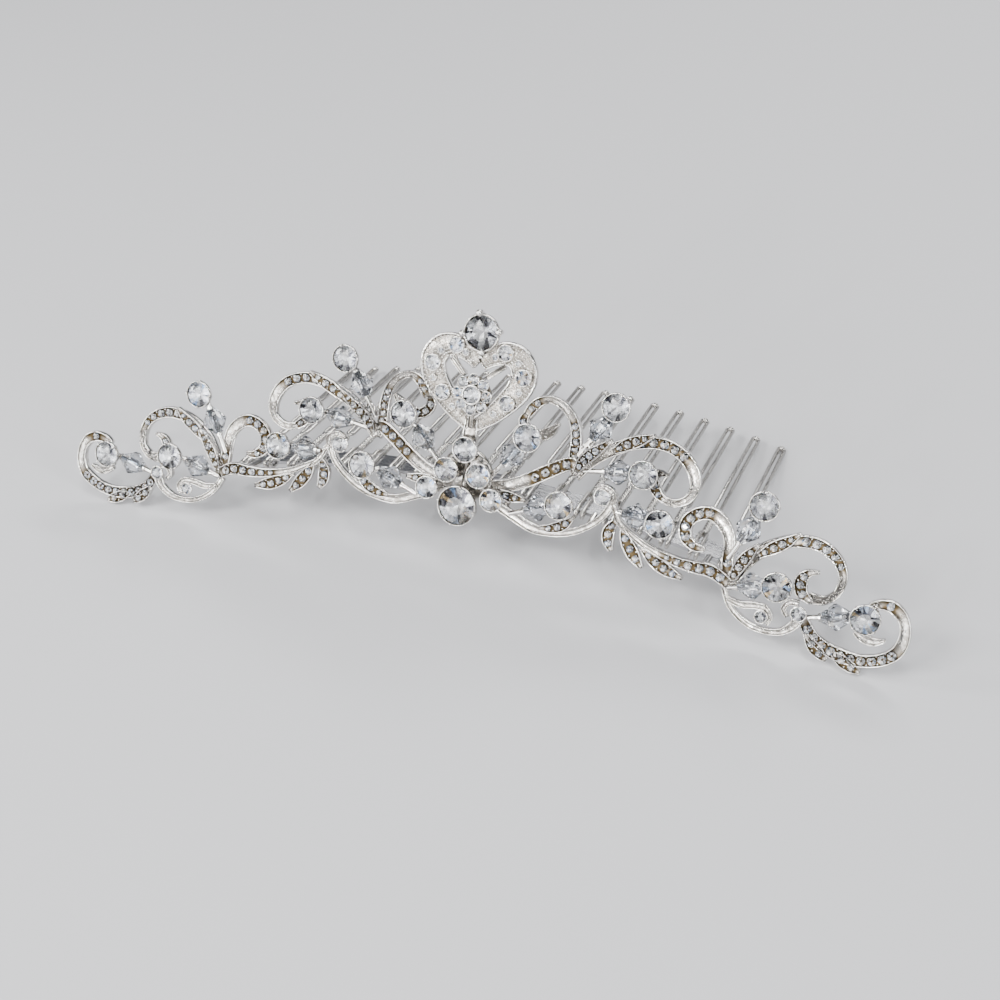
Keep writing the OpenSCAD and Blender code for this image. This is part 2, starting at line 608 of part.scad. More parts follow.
end_scroll_left();
end_scroll_right();
outer_scroll_left();
outer_scroll_right();
lower_swirl_left();
lower_swirl_right();
mid_scroll_left();
mid_scroll_right();
loop_scroll_left();
loop_scroll_right();
lower_band_left();
lower_band_right();
inner_loop_left();
inner_loop_right();
inner_swirl_left();
inner_swirl_right();
heart_frame();
flower_setting();
crown_setting();
crown_stone();
cluster_settings();
cluster_stones();
drop_stone();
heart_stones();
flower_stones();
bezel_cups();
bezel_stones();
stem_wires_left();
stem_wires_right();
chaton_cups_left();
chaton_cups_right();
chaton_stones_left();
chaton_stones_right();
pave_stones_left();
pave_stones_right();
comb_strip();
comb_teeth();
mounting_posts();
bead_left(1);  // bead_left_1
bead_left(2);  // bead_left_2
bead_left(3);  // bead_left_3
bead_left(4);  // bead_left_4
bead_left(5);  // bead_left_5
bead_left(6);  // bead_left_6
bead_left(7);  // bead_left_7
bead_left(8);  // bead_left_8
bead_right(1);  // bead_right_1
bead_right(2);  // bead_right_2
bead_right(3);  // bead_right_3
bead_right(4);  // bead_right_4
bead_right(5);  // bead_right_5
bead_right(6);  // bead_right_6
bead_right(7);  // bead_right_7
bead_right(8);  // bead_right_8
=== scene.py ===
"""Looks of the bridal tiara: smooth castings, cut stones, faceted beads and twisted comb wire."""
import math
import random

import bpy
import numpy as np
from mathutils import Matrix, Vector


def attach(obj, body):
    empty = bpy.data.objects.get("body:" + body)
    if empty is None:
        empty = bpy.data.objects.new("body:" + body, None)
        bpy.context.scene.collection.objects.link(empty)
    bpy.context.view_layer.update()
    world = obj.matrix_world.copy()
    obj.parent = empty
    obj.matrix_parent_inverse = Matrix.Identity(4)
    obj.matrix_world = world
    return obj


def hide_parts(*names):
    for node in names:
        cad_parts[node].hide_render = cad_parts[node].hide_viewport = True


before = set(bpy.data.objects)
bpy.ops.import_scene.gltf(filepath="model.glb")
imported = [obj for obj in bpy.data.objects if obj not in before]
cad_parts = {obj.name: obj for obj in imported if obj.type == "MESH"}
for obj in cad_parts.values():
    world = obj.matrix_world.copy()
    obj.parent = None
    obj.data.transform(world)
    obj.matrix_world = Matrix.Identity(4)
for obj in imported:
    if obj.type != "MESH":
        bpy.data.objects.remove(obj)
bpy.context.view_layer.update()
random.seed(7)

MM = 0.001
FRAME_BODY = "tiara_frame"

# The worn frame, in mm: X across, +Y back along the teeth, +Z up, origin at the heart's foot.
LEAN = math.radians(17)
REST_SHIFT = (0, -12.55, 20.65)
REST_TILT = math.radians(-8.9)
REST = Matrix.Translation(REST_SHIFT) @ Matrix.Rotation(REST_TILT, 4, "X")
WORN_TO_WORLD = Matrix.Diagonal((MM, MM, MM, 1)) @ REST
MIRROR = Matrix.Diagonal((-1, 1, 1, 1))
FRONT = np.array([0, -math.cos(LEAN), math.sin(LEAN)])

# Castings
SHELL_FRONT = -3.2
END_SWEEP = 5.2
HALF_SPAN = 86
WEB_BACK = 0.7
FLOOR_H = 0.25
RIM_TOP = 0.65
RIM_W = 0.3
RIM_SHARE = 0.35
LEAF_BACK = 0.55
SPAN_FADE = 0.07
PAVE_R = 0.8
PAVE_GAP = 0.22
PAVE_LIFT = 0.3
PAVE_DEPTH = 0.5
PAVE_GRAIN_R = 0.2
GRAIN_PITCH = 0.28
STONE_FIT = 0.985
# caps the painted glint on the foil's main facets, so they show painted dark reflections and white
# but no painted fire
MAIN_FACET_GLINT_CAP = 0.62

# Stems
CUP_DEPTH = 2.1
CUP_WALL = 0.26
CHATON_R = 2.55
CHATON_WALL = 0.22
CLAW_R = 0.24
CLAW_WIRE = 0.62     # the claw's wire, in ball radii
BEAD_R = 2.5
BEAD_LEN = 5.1
BEAD_BORE_R = 0.58
BEAD_END_R = 0.95
BEAD_SHOULDER_R = 1.75
BEAD_SHOULDER_Z = 1.25
BEAD_GIRDLE_Z = 0.12
BEAD_SIDES = 12

# Comb
TEETH = 19
PITCH = 5.65
STRIP_ARC_R = 217
STRIP_TOP_Z = -7
STRIP_T = 0.7
STRIP_W = 5.4
STRIP_Y = -0.8
WIRE_R = 0.4
HOOK_R = 0.7
LEG_GAP = 1.3
TOOTH_REACH = 43
ROPE_R = 0.38
ROPE_TURNS = 3.25
ROPE_START = 1.3
LEGS_START = 7.4
TIP_BALL_R = 0.62

# Centre lines: [x, z, half width, distance proud of the shell], drawn for the right half.
LINES = {
    "end_scroll": [
        [67.6, -15.2, 1, 1], [69.4, -17.8, 1.2, 0.6], [72, -19.5, 1.2, 0.3], [75, -20.4, 1.3, 0],
        [78.5, -20.4, 1.2, 0], [82, -19.3, 1.2, 0], [84.5, -17.3, 1.2, 0], [85.4, -14.8, 1.1, 0],
        [85.2, -12.4, 1, 0], [84, -10.5, 1.1, 0], [82.2, -9.7, 1.1, 0], [80.3, -9.9, 0.9, 0],
        [78.7, -10.8, 0.6, 0]],
    "end_leaf_a": [
        [68.7, -18, 0.5, 0.9], [70.2, -19.7, 1.2, 0.7], [71.8, -21, 1, 0.5],
        [73, -21.8, 0.35, 0.3]],
    "end_leaf_b": [
        [73.9, -20.2, 0.5, 0.4], [75.6, -21.1, 1.2, 0.2], [77.5, -21.9, 1.1, 0.1],
        [79.1, -22.4, 0.35, 0]],
    "end_crescent": [
        [77.1, -14.7, 0.5, 1.6], [78.6, -15.4, 0.9, 1.5], [80.5, -15.8, 0.8, 1.2],
        [82.4, -15.1, 0.25, 1]],
    "outer_arch": [
        [53.3, -13.7, 1.2, 0], [55, -10.4, 1.3, -0.5], [57.2, -7.7, 1.3, -1.2],
        [59.8, -6, 1.3, -2], [62.4, -4.8, 1.2, -2.6], [65, -4.2, 1.2, -2.8],
        [67.8, -4.2, 1.2, -3], [70.2, -5, 1.1, -3], [72, -6.4, 1, -3], [73, -8.3, 0.9, -2.8],
        [73, -10.2, 0.8, -2.4], [72.1, -11.7, 0.8, -1.8], [70.3, -12.6, 0.9, -1.2],
        [68.1, -12.4, 1.1, -0.6]],
    "outer_crescent": [
        [68.7, -12.7, 0.6, 0], [66.6, -11.5, 1.2, 0], [66.2, -9.6, 1.2, -0.3],
        [67.2, -8.2, 0.8, -0.5], [69.1, -7.7, 0.25, -0.8]],
    "outer_leaf": [
        [57.6, -7.6, 0.5, -0.6], [60, -5.8, 1.2, -0.9], [62.4, -4.1, 1.1, -1],
        [64.6, -2.1, 0.3, -1]],
    "outer_leaf_low": [
        [53.7, -12.6, 0.5, 0.7], [54.8, -9.6, 1.1, 1.1], [56.2, -6.9, 1.1, 1.4],
        [57.9, -4.3, 0.3, 1.6]],
    "lower_swirl": [
        [52.8, -14, 0.6, 0.5], [54.1, -16.3, 0.6, 0.8], [56.2, -18, 0.6, 1],
        [58.8, -19.1, 0.6, 1], [61.6, -19.3, 0.6, 1], [64.2, -18.7, 0.7, 1],
        [66.1, -17.2, 0.9, 1], [67, -15.5, 1.1, 1]],
    "swirl_curl": [
        [53.8, -15.4, 0.5, 1], [56.3, -15.8, 0.7, 1], [58.9, -15.3, 0.7, 1],
        [61, -15.3, 0.6, 1.2], [62, -16.6, 0.5, 1.2], [61.4, -18, 0.45, 1.2]],
    "swirl_hook": [
        [66.6, -12.9, 0.6, 1.2], [65, -13, 0.6, 1.2], [64.1, -14.4, 0.5, 1.2],
        [65, -15.7, 0.4, 1.2]],
    "mid_arch": [
        [20.9, -1.9, 1.1, -2.2], [23.1, 0.9, 1.2, -2.3], [25.8, 3.3, 1.3, -2.3],
        [29.1, 5.2, 1.3, -2.3], [32.4, 6.5, 1.2, -2.3], [35.7, 7.1, 1.2, -2.4],
        [38.6, 6.8, 1.2, -2.5], [41.3, 5.6, 1.2, -2.5], [43.1, 3.7, 1.2, -2.5],
        [44, 1.4, 1.1, -2.4], [43.7, -0.6, 0.9, -2.1], [42.3, -1.9, 0.8, -1.8],
        [40.3, -2.5, 0.8, -1.7], [38.3, -2.2, 0.7, -1.7]],
    "mid_crescent": [
        [39.4, -2.5, 0.5, -1.6], [37.4, -1.7, 1, -2.1], [36.2, -0.2, 1.1, -2.5],
        [36.4, 1.5, 1, -2.4], [37.5, 2.3, 0.7, -1.7], [38.9, 2.6, 0.25, -0.8]],
    "mid_leaf": [
        [27.8, 4.4, 0.5, -1.4], [30.2, 6.2, 1.2, -1.1], [33, 7.8, 1.1, -0.7],
        [35.6, 9.3, 0.3, -0.3]],
    "mid_leaf_low": [
        [21.2, -0.6, 0.5, -1], [22.5, 2, 1.1, -0.4], [24.9, 4.7, 1.1, 0.6], [27.9, 7.6, 0.3, 1.2]],
    "loop": [
        [48, -8.4, 0.5, 0], [45.9, -8.3, 0.9, 0], [44.1, -6.8, 1.2, 0], [44, -4.5, 1.3, -0.2],
        [45.6, -2.8, 1.3, -0.4], [47.9, -2.1, 1.3, -0.5], [50.1, -2.9, 1.3, -0.5],
        [51.8, -4.8, 1.2, -0.5], [52.4, -7, 1.1, -0.3], [52.5, -9.3, 1.1, 0],
        [53, -12.1, 1.2, 0]],
    "band": [
        [53.7, -13.1, 1.1, 0.6], [50.2, -11.4, 1.3, 1], [46.9, -11.2, 1.2, 1.4],
        [43.6, -11, 1, 1.5], [40.3, -10.4, 0.8, 1.5], [37.2, -9.5, 0.7, 1.5],
        [34.2, -8.1, 0.6, 1.5], [31.6, -6.7, 0.6, 1.2], [29.8, -3.8, 0.5, 0.8]],
    "band_leaf_a": [
        [30.9, -6.4, 0.5, 1.1], [29.9, -8.2, 1.2, 1.4], [29.9, -10.2, 1.2, 1.5],
        [30.8, -12, 0.4, 1.5]],
    "band_leaf_b": [
        [32.4, -7.4, 0.5, 1.5], [33.4, -9.4, 1.2, 1.5], [35.1, -11.6, 1.3, 1.5],
        [37.1, -13.7, 0.4, 1.5]],
    "band_leaf_c": [
        [36.6, -10, 0.5, 1.5], [38.9, -11.6, 1.2, 1.5], [41.8, -12.9, 1.3, 1.5],
        [45, -13.7, 0.4, 1.5]],
    "inner_loop": [
        [20.9, -1.9, 1, -2.2], [20.1, 1.5, 1.1, -2.6], [20, 4.8, 1.1, -2.8], [19.2, 7.7, 1, -2.6],
        [17.7, 9.8, 0.9, -2.2], [15.9, 11, 0.8, -1.8], [14.1, 11.4, 0.8, -1.4],
        [12.4, 10.8, 1, -1], [11.2, 9.6, 1.1, -0.8], [10.3, 8, 0.9, -0.8]],
    "inner_crescent": [
        [10.7, 9, 0.5, -1.1], [9.6, 7, 1, -1.2], [10.4, 5.3, 1.1, -1.2], [12.3, 4.6, 1.1, -1.1],
        [14.4, 5.3, 1.2, -0.8], [15.8, 6.5, 1, -0.4], [17, 8, 0.3, 0]],
    "inner_band": [
        [21.4, 0, 0.8, -2.2], [19.5, 0.3, 1.3, -2], [15.9, -1.4, 1.4, -1.2],
        [12.4, -3.3, 1.4, -0.4], [8.8, -4.7, 1.3, 0.4], [4.6, -5.2, 1, 1.1]],
    "inner_swirl": [
        [4.3, -6.6, 0.9, 1], [6.8, -8.5, 0.9, 1], [10.5, -10.1, 1, 0.8], [14.3, -11.6, 1, 0.6],
        [18, -11.7, 0.9, 0.5], [21.6, -11, 0.8, 0.5], [25, -9.3, 0.7, 0.5],
        [28, -6.6, 0.7, 0.5], [29.6, -3.5, 0.7, 0.5], [29.5, -1.9, 0.7, 0.9],
        [27.7, -1, 0.6, 1.1], [26.1, -1.5, 0.4, 1.1]],
    "swirl_leaf": [
        [16, -11, 0.5, 1], [18.4, -10.6, 1, 1.1], [20.8, -9.4, 1.1, 1.2], [22.6, -7.6, 0.35, 1.2]],
    "cluster_leaf": [[7, -6.3, 0.9, 0.9], [9.6, -6.6, 1.1, 0.9], [12.6, -6.6, 0.4, 0.9]],
    "heart": [
        [0.3, 5.2, 1.3, 1.2], [3.4, 7.4, 1.8, 1.2], [6.3, 10.2, 2.2, 1.1],
        [8.6, 13.2, 2.5, 1], [9.3, 16, 2.6, 0.8], [7.9, 18.3, 2.5, 0.5],
        [5.3, 18.9, 2.3, 0.2], [2.7, 18, 2, 0], [0.4, 16.2, 1.4, 0]],
    "heart_foot": [[0, 6.5, 1.3, 1.2], [0, 3, 1.5, 1.4], [0, 0.6, 1.2, 1.6]],
    "flower_arm": [[2.2, 14.6, 0.4, 2], [3.8, 15.8, 0.5, 1.6], [5.4, 16.9, 0.5, 1]],
    "flower_stalk": [[0, 9.2, 0.5, 2.1], [0, 6.8, 0.5, 1.9], [0, 5, 0.5, 1.7]],
}

# Which lines make up each casting, with the casting's CAD node
CASTINGS = {
    "end_scroll": ["end_scroll", "end_leaf_a", "end_leaf_b", "end_crescent"],
    "outer_scroll": ["outer_arch", "outer_crescent", "outer_leaf", "outer_leaf_low"],
    "lower_swirl": ["lower_swirl", "swirl_curl", "swirl_hook"],
    "mid_scroll": ["mid_arch", "mid_crescent", "mid_leaf", "mid_leaf_low"],
    "loop_scroll": ["loop"],
    "lower_band": ["band", "band_leaf_a", "band_leaf_b", "band_leaf_c"],
    "inner_loop": ["inner_loop", "inner_band", "inner_crescent"],
    "inner_swirl": ["inner_swirl", "swirl_leaf", "cluster_leaf"],
}

# Rows of stones: line, stone radius, first and last fraction of the line
PAVE_ROWS = [
    ("end_scroll", PAVE_R, 0.04, 0.6), ("end_scroll", PAVE_R, 0.84, 0.93),
    ("end_leaf_a", 0.65, 0.15, 0.88), ("end_leaf_b", 0.65, 0.15, 0.88),
    ("outer_arch", PAVE_R, 0.46, 0.74), ("outer_leaf", 0.7, 0.08, 0.88),
    ("outer_leaf_low", 0.7, 0.08, 0.88), ("outer_crescent", 0.7, 0.15, 0.75),
    ("mid_arch", PAVE_R, 0.38, 0.66), ("mid_leaf", 0.7, 0.08, 0.88),
    ("mid_leaf_low", 0.7, 0.08, 0.88), ("mid_crescent", 0.7, 0.12, 0.72),
    ("loop", PAVE_R, 0.06, 0.52), ("loop", PAVE_R, 0.84, 0.96), ("band", PAVE_R, 0.04, 0.5),
    ("band_leaf_a", 0.7, 0.1, 0.88), ("band_leaf_b", 0.7, 0.1, 0.88),
    ("band_leaf_c", 0.7, 0.1, 0.88), ("inner_loop", 0.65, 0.12, 0.46),
    ("inner_loop", 0.6, 0.82, 0.96), ("inner_crescent", 0.65, 0.14, 0.6),
    ("inner_band", PAVE_R, 0.08, 0.55), ("swirl_leaf", 0.65, 0.12, 0.86),
    ("cluster_leaf", 0.7, 0.1, 0.8)]

# The heart's large stones (x, z, radius, proud) and small ones (x, z, proud), on its right half
HEART_GEMS = [(5, 19, 1.45, 0.2), (9.3, 15.4, 1.45, 0.85), (6.6, 10.4, 1.4, 1.1)]
HEART_RIM = 0.42
# how dark the heart's plain channel floor is: tarnish and painted shade
HEART_TARNISH_AND_SHADE = 0.5
DOT_R = 0.55
DOTS = [(7.9, 17.7, 0.5), (8.8, 12.7, 1), (3, 17.9, 0.1), (4.2, 8.1, 1.2)]
PEBBLE_PITCH = 0.52
HEART_STONE_DEPTH = 0.3
COLLAR_LIFT = 0.22
COLLAR_WALL = 0.2
DOT_WALL = 0.16
HEART_CLAW_R = 0.17

# Places (x, y, z) in the worn frame; a last value is the stone's radius
FLOWER = (0, -3.1, 11.8)
FLOWER_GEM_R = 1.55
PETAL_GEM_R = 0.95
PETAL_RING_R = 2.95
PETAL_DROP = 0.5
CLUSTER = [(0, -6.3, 1.7, 2.3), (3.35, -7.9, -2.5, 2.25), (-3.35, -7.9, -2.5, 2.25),
           (6.7, -9.7, -6.2, 2.05), (-6.7, -9.7, -6.2, 2.05)]
DROP = (0, -10.4, -8.4, 3.7)
CROWN = (0, 2.4, 22.3, 3.3)
CROWN_TURN = math.radians(10)
CROWN_CLAW_R = 0.72
CROWN_CLAW_OUT = 0.55
CROWN_POST = [(0, 4.7, 21), (0, 4, 19), (0, 2.3, 16)]
CROWN_POST_R = 0.9
BOSS = (0, -6, -4)
BOSS_R = 5.4
# Small bezels in the scrollwork: x, z, radius, proud
BEZELS = [(27.5, -3.1, 1.55, 0.7), (22.4, 3.9, 0.8, -1), (66.9, -14.3, 1.25, 2.1),
          (60.3, -16.9, 1.05, 1.5)]
# Stems: stone's place, root in the scrollwork, and how far below the cup the bead's middle is
STEMS = [
    ((78.5, -13.4, -12), (68.4, -12, -15.1), 5.3),
    ((62.7, -13.5, -9.2), (53.5, -10.4, -13.5), 5.2),
    ((58, -7.5, 3), (52.6, -8.2, -8.8), 6),
    ((39.6, -9, -4.2), (30.8, -7.3, -4.4), 5.05),
    ((34.5, -3.5, 2.1), (22.4, -1.6, -0.6), 5.4),
    ((27.8, -0.5, 13.3), (21.2, -1.5, 2.4), 5.7),
    ((12.7, -6.3, 6.8), (4.9, -6, -3.4), 5.5),
    ((20.4, -9.9, -4.1), (9.8, -7.9, -9.3), 5.4)]


# ---------------------------------------------------------------- geometry helpers

class Shape:
    """Collects faces in the worn frame, in mm, with a material index and a smooth flag each."""

    def __init__(self):
        self.points, self.faces, self.slots, self.smooth = [], [], [], []

    def add(self, points, faces, slot=0, smooth=True):
        start = len(self.points)
        self.points.extend(tuple(map(float, p)) for p in points)
        for face in faces:
            self.faces.append([start + i for i in face])
            self.slots.append(slot)
            self.smooth.append(smooth)

    def build(self, name, materials, node_names, body=FRAME_BODY, mirrored=False):
        matrix = WORN_TO_WORLD @ MIRROR if mirrored else WORN_TO_WORLD
        mesh = bpy.data.meshes.new(name)
        faces = [f[::-1] for f in self.faces] if mirrored else self.faces
        mesh.from_pydata(self.points, [], faces)
        mesh.transform(matrix)
        for material in materials:
            mesh.materials.append(material)
        mesh.polygons.foreach_set("material_index", self.slots)
        mesh.polygons.foreach_set("use_smooth", self.smooth)
        mesh.update()
        piece = bpy.data.objects.new(name, mesh)
        bpy.context.scene.collection.objects.link(piece)
        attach(piece, body)
        if node_names:
            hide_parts(*node_names)
        return piece


def unit(v):
    return v / np.linalg.norm(v)


def shell_y(x, z):
    """The shell all castings lie on: it leans back and its ends sweep forward."""
    return SHELL_FRONT + math.tan(LEAN) * z - END_SWEEP * (x / HALF_SPAN) ** 2


def lay(p):
    """A centre line's row as a point, set proud of the shell."""
    return np.array([p[0], shell_y(p[0], p[1]) - p[3], p[1]])


def spline(points, steps):
    """Catmull-Rom spline, with straight ends, through points of any number of values."""
    p = [np.array(q, float) for q in points]
    p = [2 * p[0] - p[1]] + p + [2 * p[-1] - p[-2]]
    out = []
    for a, b, c, d in zip(p, p[1:], p[2:], p[3:]):
        for s in np.linspace(0, 1, steps, endpoint=False):
            out.append(0.5 * (2 * b + (c - a) * s + (2 * a - 5 * b + 4 * c - d) * s * s
                              + (3 * b - a - 3 * c + d) * s ** 3))
    return out + [p[-2]]


def frames(centres):
    """Tangent, front and side of a line on the shell."""
    out = []
    for i in range(len(centres)):
        t = unit(centres[min(i + 1, len(centres) - 1)] - centres[max(i - 1, 0)])
        f = unit(FRONT - FRONT.dot(t) * t)
        out.append((t, f, np.cross(f, t)))
    return out


def facing(origin, turn=0.0, forward=FRONT):
    """Matrix that puts local +Z along forward, at origin, turned about forward."""
    z = unit(np.array(forward, float))
    x = unit(np.cross((0, 1, 0), z) if abs(z[1]) < 0.99 else np.array([1.0, 0, 0]))
    y = np.cross(z, x)
    m = Matrix((x, y, z)).transposed().to_4x4()
    m.translation = Vector(origin)
    return m @ Matrix.Rotation(turn, 4, "Z")


def moved(points, matrix):
    return [matrix @ Vector(p) for p in points]


def lathe(profile, sides):
    """Turns a profile of (r, z) about Z. Points on the axis become one vertex."""
    points, rings = [], []
    for r, z in profile:
        if r < 1e-6:
            rings.append([len(points)])
            points.append((0, 0, z))
        else:
            rings.append(list(range(len(points), len(points) + sides)))
            points.extend((r * math.cos(a), r * math.sin(a), z)
                          for a in (2 * math.pi * k / sides for k in range(sides)))
    faces = []
    for a, b in zip(rings, rings[1:]):
        for k in range(sides):
            j = (k + 1) % sides
            if len(a) == 1:
                faces.append((a[0], b[j], b[k]))
            elif len(b) == 1:
                faces.append((a[k], a[j], b[0]))
            else:
                faces.append((a[k], a[j], b[j], b[k]))
    return points, faces


def tube(path, radius, sides=10):
    """Round wire along a list of points, closed at both ends."""
    path = [np.array(p, float) for p in path]
    t = unit(path[1] - path[0])
    side = unit(np.cross(t, (0.3, 0.2, 1)) if abs(t[2]) < 0.9 else np.cross(t, (1, 0.2, 0)))
    points, faces = [], []
    for i, p in enumerate(path):
        t = unit(path[min(i + 1, len(path) - 1)] - path[max(i - 1, 0)])
        side = unit(side - side.dot(t) * t)
        up = np.cross(t, side)
        for k in range(sides):
            a = 2 * math.pi * k / sides
            points.append(p + radius * (math.cos(a) * side + math.sin(a) * up))
    for i in range(len(path) - 1):
        for k in range(sides):
            j = (k + 1) % sides
            faces.append((i * sides + k, i * sides + j, (i + 1) * sides + j, (i + 1) * sides + k))
    faces.append(tuple(range(sides - 1, -1, -1)))
    faces.append(tuple((len(path) - 1) * sides + k for k in range(sides)))
    return points, faces


def ball(radius, rings, sides):
    steps = [math.pi * i / rings for i in range(rings + 1)]
    profile = [(radius * math.sin(a), -radius * math.cos(a)) for a in steps]
    return lathe(profile, sides)


# A brilliant's rings: count, radius and height in girdle radii, and phase
TABLE_RING = (8, 0.52, 0.32, 0)
STAR_RING = (8, 0.8, 0.2, 0.5)
GIRDLE_TOP = (16, 1, 0.04, 0)
GIRDLE_LOW = (16, 1, -0.02, 0)
CULET_RING_R = 0.3
CULET_RING_DEPTH = 0.74


def brilliant(r, depth=0.6):
    """Round brilliant on girdle radius r: its points, its crown faces and its pavilion faces."""
    points, faces, pavilion = [], [], []

    def ring(count, radius, z, phase):
        start = len(points)
        for k in range(count):
            a = 2 * math.pi * (k + phase) / count
            points.append((r * radius * math.cos(a), r * radius * math.sin(a), r * z))
        return list(range(start, start + count))

    table = ring(*TABLE_RING)
    mid = ring(*STAR_RING)
    top = ring(*GIRDLE_TOP)
    low = ring(*GIRDLE_LOW)
    inner = ring(8, CULET_RING_R, -CULET_RING_DEPTH * depth, 0.5)
    culet = len(points)
    points.append((0, 0, -depth * r))
    faces.append(tuple(table))
    for k in range(8):
        j = (k + 1) % 8
        h = (k - 1) % 8
        a, b, c = top[2 * k], top[2 * k + 1], top[(2 * k + 2) % 16]
        faces.append((table[k], mid[k], table[j]))
        faces.append((table[k], mid[h], a, mid[k]))
        faces.append((mid[k], a, b))
        faces.append((mid[k], b, c))
        a, b, c = low[2 * k], low[2 * k + 1], low[(2 * k + 2) % 16]
        pavilion.append((culet, inner[k], a, inner[h]))
        pavilion.append((inner[k], b, a))
        pavilion.append((inner[k], c, b))
    for k in range(16):
        j = (k + 1) % 16
        faces.append((top[k], low[k], low[j], top[j]))
    return points, faces, pavilion


# ---------------------------------------------------------------- materials

def new_material(name):
    material = bpy.data.materials.new(name)
    material.use_nodes = True
    nodes = material.node_tree.nodes
    return material, nodes, material.node_tree.links, nodes["Principled BSDF"]


def add_node(nodes, kind, **values):
    node = nodes.new(kind)
    for key, value in values.items():
        if key in node.inputs:
            node.inputs[key].default_value = value
        else:
            setattr(node, key, value)
    return node


def ramp_node(nodes, stops, interpolation="LINEAR"):
    node = nodes.new("ShaderNodeValToRGB")
    node.color_ramp.interpolation = interpolation
    elements = node.color_ramp.elements
    while len(elements) < len(stops):
        elements.new(0.5)
    for element, (place, colour) in zip(elements, stops):
        element.position = place
        element.color = (*colour, 1)
    return node


def object_noise(nodes, links, scale, detail=4.0, stretch=None):
    coords = nodes.new("ShaderNodeTexCoord")
    noise = add_node(nodes, "ShaderNodeTexNoise", Scale=scale, Detail=detail)
    source = coords.outputs["Object"]
    if stretch:
        mapping = nodes.new("ShaderNodeMapping")
        mapping.inputs["Scale"].default_value = stretch
        links.new(source, mapping.inputs["Vector"])
        source = mapping.outputs["Vector"]
    links.new(source, noise.inputs["Vector"])
    return noise


BRIGHT_PLATE = (0.72, 0.7, 0.67)
# brown tarnish, made near black so that it also paints the shade in the hollows
TARNISH_AND_SHADE = (0.05, 0.036, 0.018)
CLOUD_GAIN = 0.8
CLOUD_SHIFT = -0.26
CRYSTAL_IOR = 1.56


def silver_material():
    """Bright plate; its recesses, marked on the mesh, are dull and brown with old polish and
    darkened further as painted shade, in place of the shadow that falls in them.
    """
    material, nodes, links, bsdf = new_material("silver_plate_tarnish_and_painted_shade")
    bsdf.inputs["Metallic"].default_value = 1.0
    recess = add_node(nodes, "ShaderNodeAttribute", attribute_name="recess")
    cloud = object_noise(nodes, links, 900)
    amount = add_node(nodes, "ShaderNodeMath", operation="MULTIPLY_ADD")
    links.new(cloud.outputs["Fac"], amount.inputs[0])
    amount.inputs[1].default_value = CLOUD_GAIN
    amount.inputs[2].default_value = CLOUD_SHIFT
    total = add_node(nodes, "ShaderNodeMath", operation="ADD", use_clamp=True)
    links.new(recess.outputs["Fac"], total.inputs[0])
    links.new(amount.outputs[0], total.inputs[1])
    middle = tuple(0.3 * a + 0.7 * b for a, b in zip(BRIGHT_PLATE, TARNISH_AND_SHADE))
    colour = ramp_node(nodes, [(0.1, BRIGHT_PLATE), (0.45, middle), (0.9, TARNISH_AND_SHADE)])
    rough = ramp_node(nodes, [(0.1, (0.09,) * 3), (1.0, (0.4,) * 3)])
    links.new(total.outputs[0], colour.inputs["Fac"])
    links.new(total.outputs[0], rough.inputs["Fac"])
    links.new(colour.outputs["Color"], bsdf.inputs["Base Color"])
    links.new(rough.outputs["Color"], bsdf.inputs["Roughness"])
    grain = object_noise(nodes, links, 1700, 3.0)
    bump = add_node(nodes, "ShaderNodeBump", Strength=0.3, Distance=0.00008)
    links.new(grain.outputs["Fac"], bump.inputs["Height"])
    links.new(bump.outputs["Normal"], bsdf.inputs["Normal"])
    return material


def wire_material(name, colour, streaks):
    """Drawn or rolled plated metal, with fine streaks along its length."""
    material, nodes, links, bsdf = new_material(name)
    bsdf.inputs["Metallic"].default_value = 1.0
    streak = object_noise(nodes, links, 1500, 5.0, streaks)
    dark = tuple(0.72 * c for c in colour)
    tone = ramp_node(nodes, [(0.3, dark), (0.65, colour)])
    rough = ramp_node(nodes, [(0.3, (0.34,) * 3), (0.7, (0.18,) * 3)])
    links.new(streak.outputs["Fac"], tone.inputs["Fac"])
    links.new(streak.outputs["Fac"], rough.inputs["Fac"])
    links.new(tone.outputs["Color"], bsdf.inputs["Base Color"])
    links.new(rough.outputs["Color"], bsdf.inputs["Roughness"])
    bump = add_node(nodes, "ShaderNodeBump", Strength=0.15, Distance=0.00005)
    links.new(streak.outputs["Fac"], bump.inputs["Height"])
    links.new(bump.outputs["Normal"], bsdf.inputs["Normal"])
    return material


def crystal_material(name, stops, clouding):
    """Clear cut glass: every facet gets a random tint, as painted glints and painted fire, with
    faint striae in the polish.
    """
    material, nodes, links, bsdf = new_material(name)
    painted_glint = add_node(nodes, "ShaderNodeAttribute", attribute_name="painted_glint")
    tone = ramp_node(nodes, stops, "CONSTANT")
    links.new(painted_glint.outputs["Fac"], tone.inputs["Fac"])
    links.new(tone.outputs["Color"], bsdf.inputs["Base Color"])
    striae = object_noise(nodes, links, 700, 2.0)
    rough = ramp_node(nodes, [(0.35, (0.0,) * 3), (0.8, (clouding,) * 3)])
    links.new(striae.outputs["Fac"], rough.inputs["Fac"])
    links.new(rough.outputs["Color"], bsdf.inputs["Roughness"])
    bsdf.inputs["Transmission Weight"].default_value = 1.0
    bsdf.inputs["IOR"].default_value = CRYSTAL_IOR
    return material


